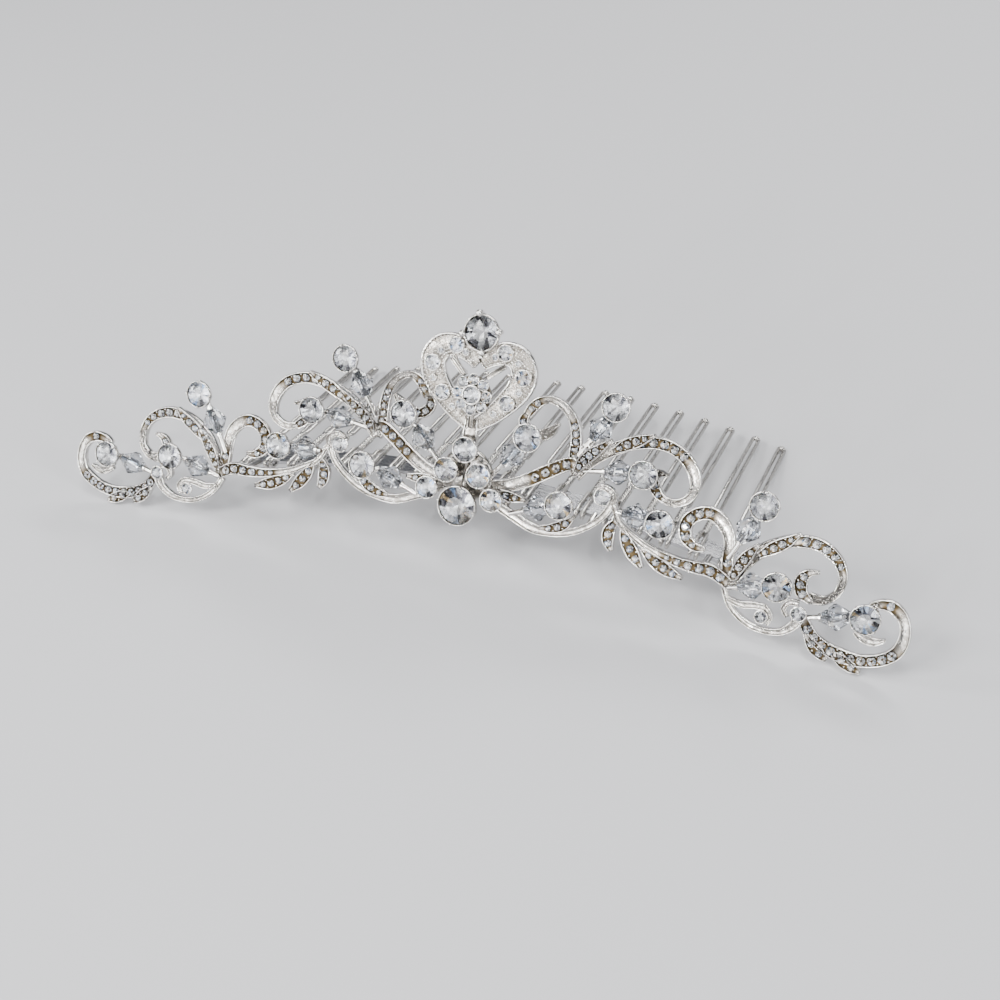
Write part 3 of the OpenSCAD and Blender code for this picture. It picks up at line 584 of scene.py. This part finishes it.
def foil_material():
    """The mirror foil behind a stone; its facets carry painted light: white painted highlights,
    dark painted reflections and painted fire.
    """
    material, nodes, links, bsdf = new_material("mirror_foil")
    bsdf.inputs["Metallic"].default_value = 1.0
    painted_glint = add_node(nodes, "ShaderNodeAttribute", attribute_name="painted_glint")
    # painted dark reflections, grey, painted white highlights, then painted blue and orange fire
    tone = ramp_node(nodes, [
        (0.0, (0.05, 0.05, 0.06)), (0.14, (0.3, 0.3, 0.33)), (0.24, (0.97, 0.98, 1.0)),
        (0.93, (0.45, 0.65, 1.0)), (0.965, (1.0, 0.75, 0.42))], "CONSTANT")
    links.new(painted_glint.outputs["Fac"], tone.inputs["Fac"])
    links.new(tone.outputs["Color"], bsdf.inputs["Base Color"])
    haze = object_noise(nodes, links, 1800)
    rough = ramp_node(nodes, [(0.4, (0.24,) * 3), (0.75, (0.34,) * 3)])
    links.new(haze.outputs["Fac"], rough.inputs["Fac"])
    links.new(rough.outputs["Color"], bsdf.inputs["Roughness"])
    return material


def floor_material():
    material, nodes, links, bsdf = new_material("pale_studio_floor")
    cloud = object_noise(nodes, links, 3.0)
    tone = ramp_node(nodes, [(0.3, (0.4, 0.4, 0.41)), (0.7, (0.44, 0.44, 0.45))])
    links.new(cloud.outputs["Fac"], tone.inputs["Fac"])
    links.new(tone.outputs["Color"], bsdf.inputs["Base Color"])
    bsdf.inputs["Roughness"].default_value = 0.7
    return material


SILVER = silver_material()
WIRE = wire_material("drawn_wire", (0.58, 0.56, 0.53), (1, 0.04, 1))
STRIP = wire_material("rolled_strip", (0.42, 0.42, 0.43), (0.05, 1, 1))
STONE = crystal_material("cut_crystal", [
    (0.0, (0.95, 0.96, 0.97)), (0.5, (1.0, 1.0, 1.0))], 0.02)
FOIL = foil_material()
# painted grey and white glints and painted blue and warm fire on the bead's facets
GLASS = crystal_material("bead_crystal", [
    (0.0, (0.55, 0.58, 0.64)), (0.25, (0.93, 0.95, 0.98)), (0.9, (0.72, 0.84, 1.0)),
    (0.96, (1.0, 0.9, 0.76))], 0.05)


def mark(piece, name, domain, values):
    """Stores one value per point or face for the materials to read."""
    layer = piece.data.attributes.new(name, "FLOAT", domain)
    layer.data.foreach_set("value", values)


def mark_painted_glint(piece):
    """A random value on every facet, which picks its painted glint; lower on the foil's four-sided
    ones, which so get only painted dark reflections, grey and white.
    """
    values = []
    for face in piece.data.polygons:
        main = face.material_index == 1 and len(face.vertices) == 4
        values.append(random.random() * (MAIN_FACET_GLINT_CAP if main else 1))
    mark(piece, "painted_glint", "FACE", values)


# ---------------------------------------------------------------- castings

def rim_width(w, rim=RIM_W):
    """The rim is narrower where the line itself is narrow; w is the line's half width."""
    return min(rim, RIM_SHARE * w)


def channel(w, back, rim):
    """Half of the casting's section as (across, front, recess), from the back to the middle;
    recess is tarnish and painted shade, darkest in the corner under the rim.
    """
    r = rim_width(w, rim)
    b = min(0.3, 0.3 * w)
    return [
        (0.0, -back, 0.0), (w - b, -back, 0.0), (w - 0.3 * b, 0.25 * b - back, 0.0),
        (w, b - back, 0.0), (w, RIM_TOP - 0.2, 0.0), (w - 0.2 * r, RIM_TOP - 0.05, 0.0),
        (w - 0.5 * r, RIM_TOP, 0.0), (w - 0.85 * r, RIM_TOP - 0.06, 0.1),
        (w - r, RIM_TOP - 0.2, 0.5), (w - 1.08 * r, FLOOR_H + 0.05, 1.0),
        (w - 1.5 * r, FLOOR_H, 0.9), (0.0, FLOOR_H + 0.02, 0.75)]


def cast_ribbon(shape, marks, line, back=WEB_BACK, steps=7, spans=(), plain=0.4, rim=RIM_W):
    """Sweeps the section along a line. Its recess is dark with tarnish and painted shade in the
    spans that hold stones.
    """
    rows = spline(line, steps)
    centres = [lay(q) for q in rows]
    points, shades, faces = [], [], []
    run = distances(centres)
    for q, (_, f, b), s in zip(rows, frames(centres), run / run[-1]):
        inside = max([min(s - first, last - s) for first, last in spans], default=-1)
        dark = plain + (1 - plain) * min(max(inside / SPAN_FADE + 0.7, 0), 1)
        half = channel(max(q[2], 0.12), back, rim)
        loop = half + [(-u, n, shade) for u, n, shade in half[-2:0:-1]]
        for u, n, shade in loop:
            points.append(lay(q) + u * b + n * f)
            shades.append(shade * dark)
    m = len(loop)
    for i in range(len(rows) - 1):
        for j in range(m):
            k = (j + 1) % m
            faces.append((i * m + j, (i + 1) * m + j, (i + 1) * m + k, i * m + k))
    faces.append(tuple(range(m)))
    faces.append(tuple((len(rows) - 1) * m + j for j in range(m - 1, -1, -1)))
    shape.add(points, faces)
    marks.extend(shades)


def distances(centres):
    """How far along its line each point lies."""
    return np.concatenate([[0], np.cumsum([np.linalg.norm(b - a)
                                           for a, b in zip(centres, centres[1:])])])


def add_stone(shape, matrix, r, depth=0.6):
    """A brilliant with glass above and foil below, turned at random in its seat."""
    points, crown_faces, pavilion = brilliant(r * STONE_FIT, depth)
    points = moved(points, matrix @ Matrix.Rotation(random.uniform(0, 0.8), 4, "Z"))
    shape.add(points, crown_faces, slot=0, smooth=False)
    shape.add(points, pavilion, slot=1, smooth=False)


def row_places(line, stone_r, first, last):
    """Where the stones of a row sit: (row values, frame, radius) for each."""
    rows = spline(line, 4)
    centres = [lay(q) for q in rows]
    run = distances(centres)
    span = (last - first) * run[-1]
    count = max(1, int(span / (2 * stone_r + PAVE_GAP)))
    table = np.array(rows)
    out = []
    for i in range(count):
        s = first * run[-1] + (i + 0.5) * span / count
        k = int(np.searchsorted(run, s)) - 1
        a = (s - run[k]) / (run[k + 1] - run[k])
        q = table[k] + (table[k + 1] - table[k]) * a
        t = unit(centres[k + 1] - centres[k])
        f = unit(FRONT - FRONT.dot(t) * t)
        r = min(stone_r, q[2] - rim_width(q[2]) - 0.08)
        out.append((q, (t, f, np.cross(f, t)), r))
    return out


def add_grain(shape, marks, place, radius, forward):
    """A bead of metal raised beside a stone."""
    points, faces = ball(radius, 5, 8)
    points = moved(points, facing(place, 0, forward))
    shape.add(points, faces)
    marks.extend([0.05] * len(points))


def add_row(stones, metal, marks, row):
    """A row's stones, with a pair of grains between neighbours."""
    line, stone_r, first, last = row
    places = row_places(LINES[line], stone_r, first, last)
    for q, (_, f, _), r in places:
        add_stone(stones, facing(lay(q) + (FLOOR_H + PAVE_LIFT) * f, 0, f), r, PAVE_DEPTH)
    ends = [(p[0] + n[0]) / 2 for p, n in zip(places, places[1:])]
    sides = [p[1] for p in places]
    for q, (_, f, b) in zip(ends, sides):
        offset = max(q[2] - rim_width(q[2]) - 0.16, 0.1)
        for side in (-1, 1):
            place = lay(q) + side * offset * b + (FLOOR_H + 0.18) * f
            add_grain(metal, marks, place, PAVE_GRAIN_R, f)


def add_pebbles(metal, marks, line, spans):
    """Fine grains all over the floor of a channel where it holds no stones."""
    rows = spline(line, 8)
    centres = [lay(q) for q in rows]
    run = distances(centres)
    for q, (_, f, b), s in zip(rows, frames(centres), run / run[-1]):
        reach = q[2] - rim_width(q[2]) - 0.14
        if reach < 0.15 or any(first - 0.02 < s < last + 0.02 for first, last in spans):
            continue
        for _ in range(max(1, int(reach / GRAIN_PITCH))):
            across = random.uniform(-reach, reach)
            add_grain(metal, marks, lay(q) + across * b + (FLOOR_H - 0.02) * f,
                      random.uniform(0.12, 0.19), f)


def scrolls():
    """All castings of one side, mirrored for the other."""
    for node, lines in CASTINGS.items():
        shape, marks = Shape(), []
        for i, line in enumerate(lines):
            spans = [row[2:] for row in PAVE_ROWS if row[0] == line]
            back = WEB_BACK if i == 0 else LEAF_BACK
            cast_ribbon(shape, marks, LINES[line], back, spans=spans, plain=0.3)
            add_pebbles(shape, marks, LINES[line], spans)
        unused = Shape()     # this pass keeps the grains; the stones are built below
        for row in PAVE_ROWS:
            if row[0] in lines:
                add_row(unused, shape, marks, row)
        for side, mirrored in (("left", True), ("right", False)):
            piece = shape.build(f"{node}_{side}_casting", [SILVER], [f"{node}_{side}"],
                                mirrored=mirrored)
            mark(piece, "recess", "POINT", marks)
    stones = Shape()
    for row in PAVE_ROWS:
        add_row(stones, Shape(), [], row)
    for side, mirrored in (("left", True), ("right", False)):
        piece = stones.build(f"pave_{side}", [STONE, FOIL], [f"pave_stones_{side}"],
                             mirrored=mirrored)
        mark_painted_glint(piece)


# ---------------------------------------------------------------- set stones

def cup_profile(r, wall):
    """Section of an open cup for a stone of radius r: round the outside, over the lip, inside."""
    return [(0, -0.9 * r), (0.4 * r, -0.9 * r), (r + 0.75 * wall, -0.2 * r), (r + wall, -0.05 * r),
            (r + wall, 0.1 * r), (r + 0.6 * wall, 0.17 * r), (r + 0.1 * wall, 0.15 * r),
            (r, 0.08 * r), (r - 0.02, -0.02 * r), (0.9 * r, -0.08 * r), (0.1 * r, -0.7 * r),
            (0, -0.7 * r)]


def add_cup(shape, marks, matrix, r, wall=CUP_WALL, sides=40):
    """A cup round a stone of radius r, dark inside with tarnish and painted shade."""
    profile = cup_profile(r, wall)
    points, faces = lathe(profile, sides)
    shape.add(moved(points, matrix), faces)
    ring = [0, 0, 0, 0, 0, 0, 0.2, 0.6, 1, 1, 1, 1]
    for (radius, _), value in zip(profile, ring):
        marks.extend([value] * (1 if radius < 1e-6 else sides))


def add_prongs(shape, marks, matrix, r, count, size, phase=0.0, overhang=0.1):
    """Claws that rise beside the cup and end in a ball over the stone's edge."""
    for k in range(count):
        a = 2 * math.pi * (k + phase) / count
        x, y = math.cos(a), math.sin(a)
        path = [(s * x, s * y, z) for s, z in (
            (0.72 * r, -0.6 * r), (r + 0.6 * size, -0.2 * r), (r + 0.7 * size, 0.12 * r),
            (r + overhang * size, 0.24 * r))]
        points, faces = tube(spline(path, 4), CLAW_WIRE * size, 8)
        shape.add(moved(points, matrix), faces)
        marks.extend([0.0] * len(points))
        points, faces = ball(size, 6, 10)
        tip = Matrix.Translation(Vector(path[-1]))
        shape.add(moved(points, matrix @ tip), faces)
        marks.extend([0.0] * len(points))


def add_lathe(shape, marks, matrix, profile, sides, shade=0.0):
    # shade darkens the whole part as tarnish and painted shade
    points, faces = lathe(profile, sides)
    shape.add(moved(points, matrix), faces)
    marks.extend([shade] * len(points))


def finish_metal(shape, marks, name, nodes, mirrored=False):
    piece = shape.build(name, [SILVER], nodes, mirrored=mirrored)
    mark(piece, "recess", "POINT", marks)


def finish_stones(shape, name, nodes, mirrored=False):
    piece = shape.build(name, [STONE, FOIL], nodes, mirrored=mirrored)
    mark_painted_glint(piece)


def stem_stones():
    """The eight cups a side that stand on the stems, with their stones."""
    for side, mirrored in (("left", True), ("right", False)):
        cups, marks, stones = Shape(), [], Shape()
        for i, (centre, _, _) in enumerate(STEMS):
            seat = facing(centre, 0.4 * i)
            add_cup(cups, marks, seat, CHATON_R, CHATON_WALL, 48)
            add_prongs(cups, marks, seat, CHATON_R, 4, CLAW_R, 0.5)
            add_stone(stones, seat, CHATON_R)
        finish_metal(cups, marks, f"stem_cups_{side}", [f"chaton_cups_{side}"], mirrored)
        finish_stones(stones, f"stem_stones_{side}", [f"chaton_stones_{side}"], mirrored)


def small_bezels():
    """Small stones in cups, set among the scrolls."""
    cups, marks, stones = Shape(), [], Shape()
    for x, z, r, proud in BEZELS:
        for side in (-1, 1):
            place = lay((x, z, 0, proud)) * (side, 1, 1)
            add_cup(cups, marks, facing(place), r, 0.25)
            add_stone(stones, facing(place), r)
    finish_metal(cups, marks, "small_bezels", ["bezel_cups"])
    finish_stones(stones, "small_bezel_stones", ["bezel_stones"])


def cluster():
    """Five cups and the drop cup, on necks from a round boss."""
    cups, marks, stones = Shape(), [], Shape()
    boss = facing(BOSS)
    # the boss behind the cups is darkened as tarnish and painted shade
    add_lathe(cups, marks, boss, [(0, -1.2), (BOSS_R - 0.4, -1.2), (BOSS_R, -0.8),
                                  (BOSS_R - 0.1, -0.2), (BOSS_R - 0.6, 0), (0, 0)], 48, 0.2)
    for x, y, z, r in CLUSTER + [DROP]:
        seat = facing((x, y, z), 0.3 * z)
        add_cup(cups, marks, seat, r, CUP_WALL, 48)
        add_prongs(cups, marks, seat, r, 4, CLAW_R, 0.5)
        back = np.array((x, y, z)) - 0.85 * r * FRONT
        points, faces = tube([np.array(BOSS) + (0.5 * x, 0, 0), back], 0.7, 16)
        cups.add(points, faces)
        # the necks are darkened as tarnish and painted shade between the cups and the boss
        marks.extend([0.3] * len(points))
    for x, y, z, r in CLUSTER:
        add_stone(stones, facing((x, y, z)), r)
    finish_metal(cups, marks, "cluster_cups", ["cluster_settings"])
    finish_stones(stones, "cluster_crystals", ["cluster_stones"])
    drop = Shape()
    add_stone(drop, facing(DROP[:3]), DROP[3])
    finish_stones(drop, "drop_crystal", ["drop_stone"])


def crown():
    """The stone over the heart, in a cup with four large claws on a post."""
    cup, marks, stone = Shape(), [], Shape()
    seat = facing(CROWN[:3], CROWN_TURN)
    add_cup(cup, marks, seat, CROWN[3], 0.3, 56)
    add_prongs(cup, marks, seat, CROWN[3], 4, CROWN_CLAW_R, 0.0, CROWN_CLAW_OUT)
    points, faces = tube(CROWN_POST, CROWN_POST_R, 20)
    cup.add(points, faces)
    # the post is darkened a little as tarnish and painted shade behind the cup
    marks.extend([0.2] * len(points))
    finish_metal(cup, marks, "crown_prongs", ["crown_setting"])
    add_stone(stone, seat, CROWN[3])
    finish_stones(stone, "crown_crystal", ["crown_stone"])


def flower():
    """The flower in the heart: a middle stone, eight petals, two arms and a stalk."""
    metal, marks, stones = Shape(), [], Shape()
    middle = facing(FLOWER)
    add_cup(metal, marks, middle, FLOWER_GEM_R, 0.42, 40)
    add_stone(stones, middle, FLOWER_GEM_R)
    plate_z = -PETAL_DROP - 0.7 * PETAL_GEM_R
    # the plate under the petals is darkened as tarnish and painted shade
    add_lathe(metal, marks, middle, [(0, plate_z - 0.45), (3.4, plate_z - 0.45),
                                     (3.6, plate_z - 0.25), (3.4, plate_z - 0.05),
                                     (0, plate_z - 0.05)], 48, 0.6)
    for k in range(8):
        turn = Matrix.Rotation(math.pi * k / 4, 4, "Z")
        seat = middle @ turn @ Matrix.Translation((PETAL_RING_R, 0, -PETAL_DROP))
        add_cup(metal, marks, seat, PETAL_GEM_R, 0.18, 28)
        add_prongs(metal, marks, seat, PETAL_GEM_R, 3, 0.15, 0.3 * k)
        add_stone(stones, seat, PETAL_GEM_R)
    mirrored_arm = [[-p[0], *p[1:]] for p in LINES["flower_arm"]]
    cast_ribbon(metal, marks, LINES["flower_arm"])
    cast_ribbon(metal, marks, mirrored_arm)
    cast_ribbon(metal, marks, LINES["flower_stalk"])
    finish_metal(metal, marks, "flower_cups", ["flower_setting"])
    finish_stones(stones, "flower_crystals", ["flower_stones"])


def heart():
    """The heart's wide channel is pebbled all over, round its collared stones."""
    metal, marks, stones = Shape(), [], Shape()
    gems = [(s * x, z, r, p) for x, z, r, p in HEART_GEMS for s in (-1, 1)]
    dots = [(s * x, z, DOT_R, p) for x, z, p in DOTS for s in (-1, 1)]
    taken = [(x, z, r + 0.32) for x, z, r, p in gems] + [(x, z, r + 0.2) for x, z, r, p in dots]
    for side in (-1, 1):
        line = [[side * p[0], *p[1:]] for p in LINES["heart"]]
        cast_ribbon(metal, marks, line, steps=10, plain=HEART_TARNISH_AND_SHADE, rim=HEART_RIM)
        rows = spline(line, 6)
        for q, (t, f, b) in zip(rows, frames([lay(q) for q in rows])):
            reach = q[2] - 0.55
            count = max(2, int(2 * reach / PEBBLE_PITCH))
            for k in range(count + 1):
                across = -reach + 2 * reach * k / count + random.uniform(-0.1, 0.1)
                spot = lay(q) + across * b + random.uniform(-0.12, 0.12) * t
                clear = all(math.hypot(spot[0] - x, spot[2] - z) > r for x, z, r in taken)
                if clear and side * spot[0] > 0.1:
                    add_grain(metal, marks, spot + (FLOOR_H + 0.02) * f,
                              random.uniform(0.17, 0.26), f)
    cast_ribbon(metal, marks, LINES["heart_foot"], 0.9)
    for x, z, r, proud in gems + dots:
        lift = FLOOR_H + COLLAR_LIFT + 0.1 * r
        seat = facing(lay((x, z, 0, proud)) + lift * FRONT, 0.5 * x)
        wall = COLLAR_WALL if r > 1 else DOT_WALL
        add_lathe(metal, marks, seat, [(r + wall + 0.15, -0.35), (r + wall + 0.05, 0.1),
                                       (r + 0.5 * wall, 0.26), (r, 0.22), (r - 0.03, -0.1)], 36)
        add_stone(stones, seat, r, HEART_STONE_DEPTH)
        if r > 1:
            add_prongs(metal, marks, seat, r, 4, HEART_CLAW_R, 0.5)
    finish_metal(metal, marks, "heart_casting", ["heart_frame"])
    finish_stones(stones, "heart_crystals", ["heart_stones"])


# ---------------------------------------------------------------- beads

def stem_axis(stem):
    """The middle of a stem's bead, and the stem's direction."""
    centre, root, reach = stem
    tip = np.array(centre) - CUP_DEPTH * FRONT
    direction = unit(tip - np.array(root))
    return tip - reach * direction, direction


def bead_shape(stem):
    """Two facet rows each way from a narrow girdle, round a polished bore."""
    middle, direction = stem_axis(stem)
    shape, points, faces = Shape(), [], []
    half = BEAD_LEN / 2
    n = BEAD_SIDES
    rows = [(BEAD_END_R, -half, 0), (BEAD_SHOULDER_R, -BEAD_SHOULDER_Z, 0.5),
            (BEAD_R, -BEAD_GIRDLE_Z, 0), (BEAD_R, BEAD_GIRDLE_Z, 0),
            (BEAD_SHOULDER_R, BEAD_SHOULDER_Z, 0.5), (BEAD_END_R, half, 0)]
    for r, z, phase in rows:
        for k in range(n):
            a = 2 * math.pi * (k + phase) / n
            points.append((r * math.cos(a), r * math.sin(a), z))

    def link(low, high, shifted):
        for k in range(n):
            j = (k + 1) % n
            if shifted:
                faces.append((low * n + k, low * n + j, high * n + k))
                faces.append((low * n + j, high * n + j, high * n + k))
            else:
                faces.append((low * n + k, high * n + j, high * n + k))
                faces.append((low * n + k, low * n + j, high * n + j))

    link(0, 1, True)
    link(1, 2, False)
    for k in range(n):
        j = (k + 1) % n
        faces.append((2 * n + k, 2 * n + j, 3 * n + j, 3 * n + k))
    link(3, 4, True)
    link(4, 5, False)
    start = len(points)
    for z in (-half, half):
        for k in range(n):
            a = 2 * math.pi * k / n
            points.append((BEAD_BORE_R * math.cos(a), BEAD_BORE_R * math.sin(a), z))
    for k in range(n):
        j = (k + 1) % n
        faces.append((start + k, start + n + k, start + n + j, start + j))
        faces.append((k, start + k, start + j, j))
        faces.append((5 * n + k, 5 * n + j, start + n + j, start + n + k))
    shape.add(moved(points, facing(middle, 0.2, direction)), faces, smooth=False)
    return shape


def beads():
    for side, mirrored in (("left", True), ("right", False)):
        for i, stem in enumerate(STEMS, 1):
            piece = bead_shape(stem).build(
                f"crystal_bead_{side}_{i}", [GLASS], [f"bead_{side}_{i}"],
                f"turning_bead_{side}_{i}", mirrored)
            mark_painted_glint(piece)


# ---------------------------------------------------------------- comb

def tooth_wires():
    """The wires of one tooth, as paths about the strip's middle plane."""
    front_y = STRIP_Y - STRIP_W / 2 - 0.5
    back_y = STRIP_Y + STRIP_W / 2 + 0.4
    rope_y = back_y + ROPE_START
    legs_y = back_y + LEGS_START
    tip_y = STRIP_Y + STRIP_W / 2 + TOOTH_REACH - LEG_GAP / 2
    paths = []
    for side in (-1, 1):
        x = side * LEG_GAP / 2
        top = [(0.3 * side, rope_y, 0.3), (0.8 * x, back_y + 0.5, HOOK_R * 0.9)]
        top += [(x, y, HOOK_R) for y in np.linspace(back_y, front_y, 4)]
        hook = [(x, front_y - HOOK_R * math.sin(a), HOOK_R * math.cos(a))
                for a in np.linspace(0, math.pi, 9)[1:]]
        under = [(x, y, -HOOK_R) for y in np.linspace(front_y, back_y, 4)[1:]]
        under += [(0.8 * x, back_y + 0.5, -HOOK_R * 0.9), (0.3 * side, rope_y, -0.3)]
        paths.append(top + hook + under)
        rope = []
        for s in np.linspace(0, 1, 46):
            a = 2 * math.pi * ROPE_TURNS * s + (0 if side > 0 else math.pi)
            rope.append((ROPE_R * math.cos(a), rope_y - 0.5 + (legs_y - rope_y) * s,
                         ROPE_R * math.sin(a)))
        legs = [(x, legs_y + 1.0, 0), (x, 0.5 * (legs_y + tip_y), 0), (x, tip_y, 0)]
        paths.append(rope + legs)
    loop = [(LEG_GAP / 2 * math.cos(a), tip_y + LEG_GAP / 2 * math.sin(a), 0)
            for a in np.linspace(0, math.pi, 11)]
    paths.append(loop)
    return paths, tip_y


def comb():
    """All teeth, fanned along the strip's arc."""
    shape = Shape()
    paths, tip_y = tooth_wires()
    for i in range(TEETH):
        across = (i - (TEETH - 1) / 2) * PITCH
        turn = Matrix.Rotation(math.asin(across / STRIP_ARC_R), 4, "Y")
        place = Matrix.Translation((0, 0, STRIP_TOP_Z - STRIP_ARC_R)) @ turn
        place = place @ Matrix.Translation((0, 0, STRIP_ARC_R - STRIP_T / 2))
        for path in paths:
            points, faces = tube(path, WIRE_R, 10)
            shape.add(moved(points, place), faces)
        points, faces = ball(TIP_BALL_R, 8, 12)
        drop = Matrix.Translation((0, tip_y + LEG_GAP / 2 - 0.1, 0))
        shape.add(moved(points, place @ drop), faces)
    shape.build("comb_wires", [WIRE], ["comb_teeth"])


def dress_cad_nodes():
    """Kept CAD nodes: the stems, the posts and the strip."""
    for node, material in (("stem_wires_left", SILVER), ("stem_wires_right", SILVER),
                           ("mounting_posts", SILVER), ("comb_strip", STRIP)):
        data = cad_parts[node].data
        data.materials.clear()
        data.materials.append(material)


# ---------------------------------------------------------------- camera, floor and light

CAMERA_PLACE = (98.10, -227.52, 133.71)     # in the worn frame, mm
CAMERA_TURN = math.radians(22.337)
CAMERA_DROP = math.radians(30.609)
SENSOR_W = 36
FOCAL_RATIO = 1.45     # focal length over sensor width
FLOOR_SIZE = 6
WORLD_COLOUR = (0.9, 0.93, 1, 1)
WORLD_STRENGTH = 0.26
LIGHT_AIM = (0, 0, 0.02)
WHITE = (1, 1, 1)
COOL = (0.95, 0.97, 1)

# Softboxes: name, place, size, watts and colour, in metres and in the world frame
LIGHTS = [
    ("key", (-0.4, -0.5, 0.65), (0.4, 0.3), 10, WHITE),
    ("front", (-0.3, -0.95, 0.25), (0.95, 0.28), 8, WHITE),
    ("fill", (0.75, -0.3, 0.35), (0.12, 0.5), 5, COOL),
    ("side", (-0.8, -0.1, 0.3), (0.12, 0.5), 5, WHITE),
    ("rim", (0.15, 0.6, 0.5), (0.6, 0.1), 5, WHITE),
    ("top", (0.1, -0.1, 0.9), (0.2, 0.5), 5, WHITE),
    ("sparkle_a", (-0.1, -0.7, 0.25), (0.04, 0.04), 1.5, WHITE),
    ("sparkle_b", (0.35, -0.5, 0.7), (0.05, 0.05), 2, WHITE)]


def camera():
    turn, drop = CAMERA_TURN, CAMERA_DROP
    right = Vector((math.cos(turn), math.sin(turn), 0))
    view = Vector((-math.sin(turn) * math.cos(drop), math.cos(turn) * math.cos(drop),
                   -math.sin(drop)))
    up = right.cross(view)
    pose = Matrix((right, up, -view)).transposed().to_4x4()
    pose.translation = Vector(CAMERA_PLACE)
    data = bpy.data.cameras.new("camera")
    data.sensor_width = SENSOR_W
    data.lens = SENSOR_W * FOCAL_RATIO
    data.clip_start = 0.01
    eye = bpy.data.objects.new("camera", data)
    placed = REST @ pose
    placed.translation *= MM
    eye.matrix_world = placed
    bpy.context.scene.collection.objects.link(eye)
    bpy.context.scene.camera = eye


def stage_floor(material):
    bpy.ops.mesh.primitive_plane_add(size=1)
    plane = bpy.context.object
    plane.name = "floor"
    plane.scale = (FLOOR_SIZE, FLOOR_SIZE, 1)
    plane.data.materials.append(material)


def area_light(name, place, size, power, colour):
    data = bpy.data.lights.new(name, "AREA")
    data.shape = "RECTANGLE"
    data.size, data.size_y = size
    data.energy = power
    data.color = colour
    light = bpy.data.objects.new(name, data)
    light.location = place
    aim = Vector(LIGHT_AIM) - Vector(place)
    light.rotation_euler = aim.to_track_quat("-Z", "Y").to_euler()
    bpy.context.scene.collection.objects.link(light)


def studio():
    stage_floor(floor_material())
    world = bpy.data.worlds.new("studio")
    bpy.context.scene.world = world
    world.use_nodes = True
    world.node_tree.nodes["Background"].inputs["Color"].default_value = WORLD_COLOUR
    world.node_tree.nodes["Background"].inputs["Strength"].default_value = WORLD_STRENGTH
    for light in LIGHTS:
        area_light(*light)


camera()
studio()
scrolls()
stem_stones()
small_bezels()
cluster()
crown()
flower()
heart()
beads()
comb()
dress_cad_nodes()
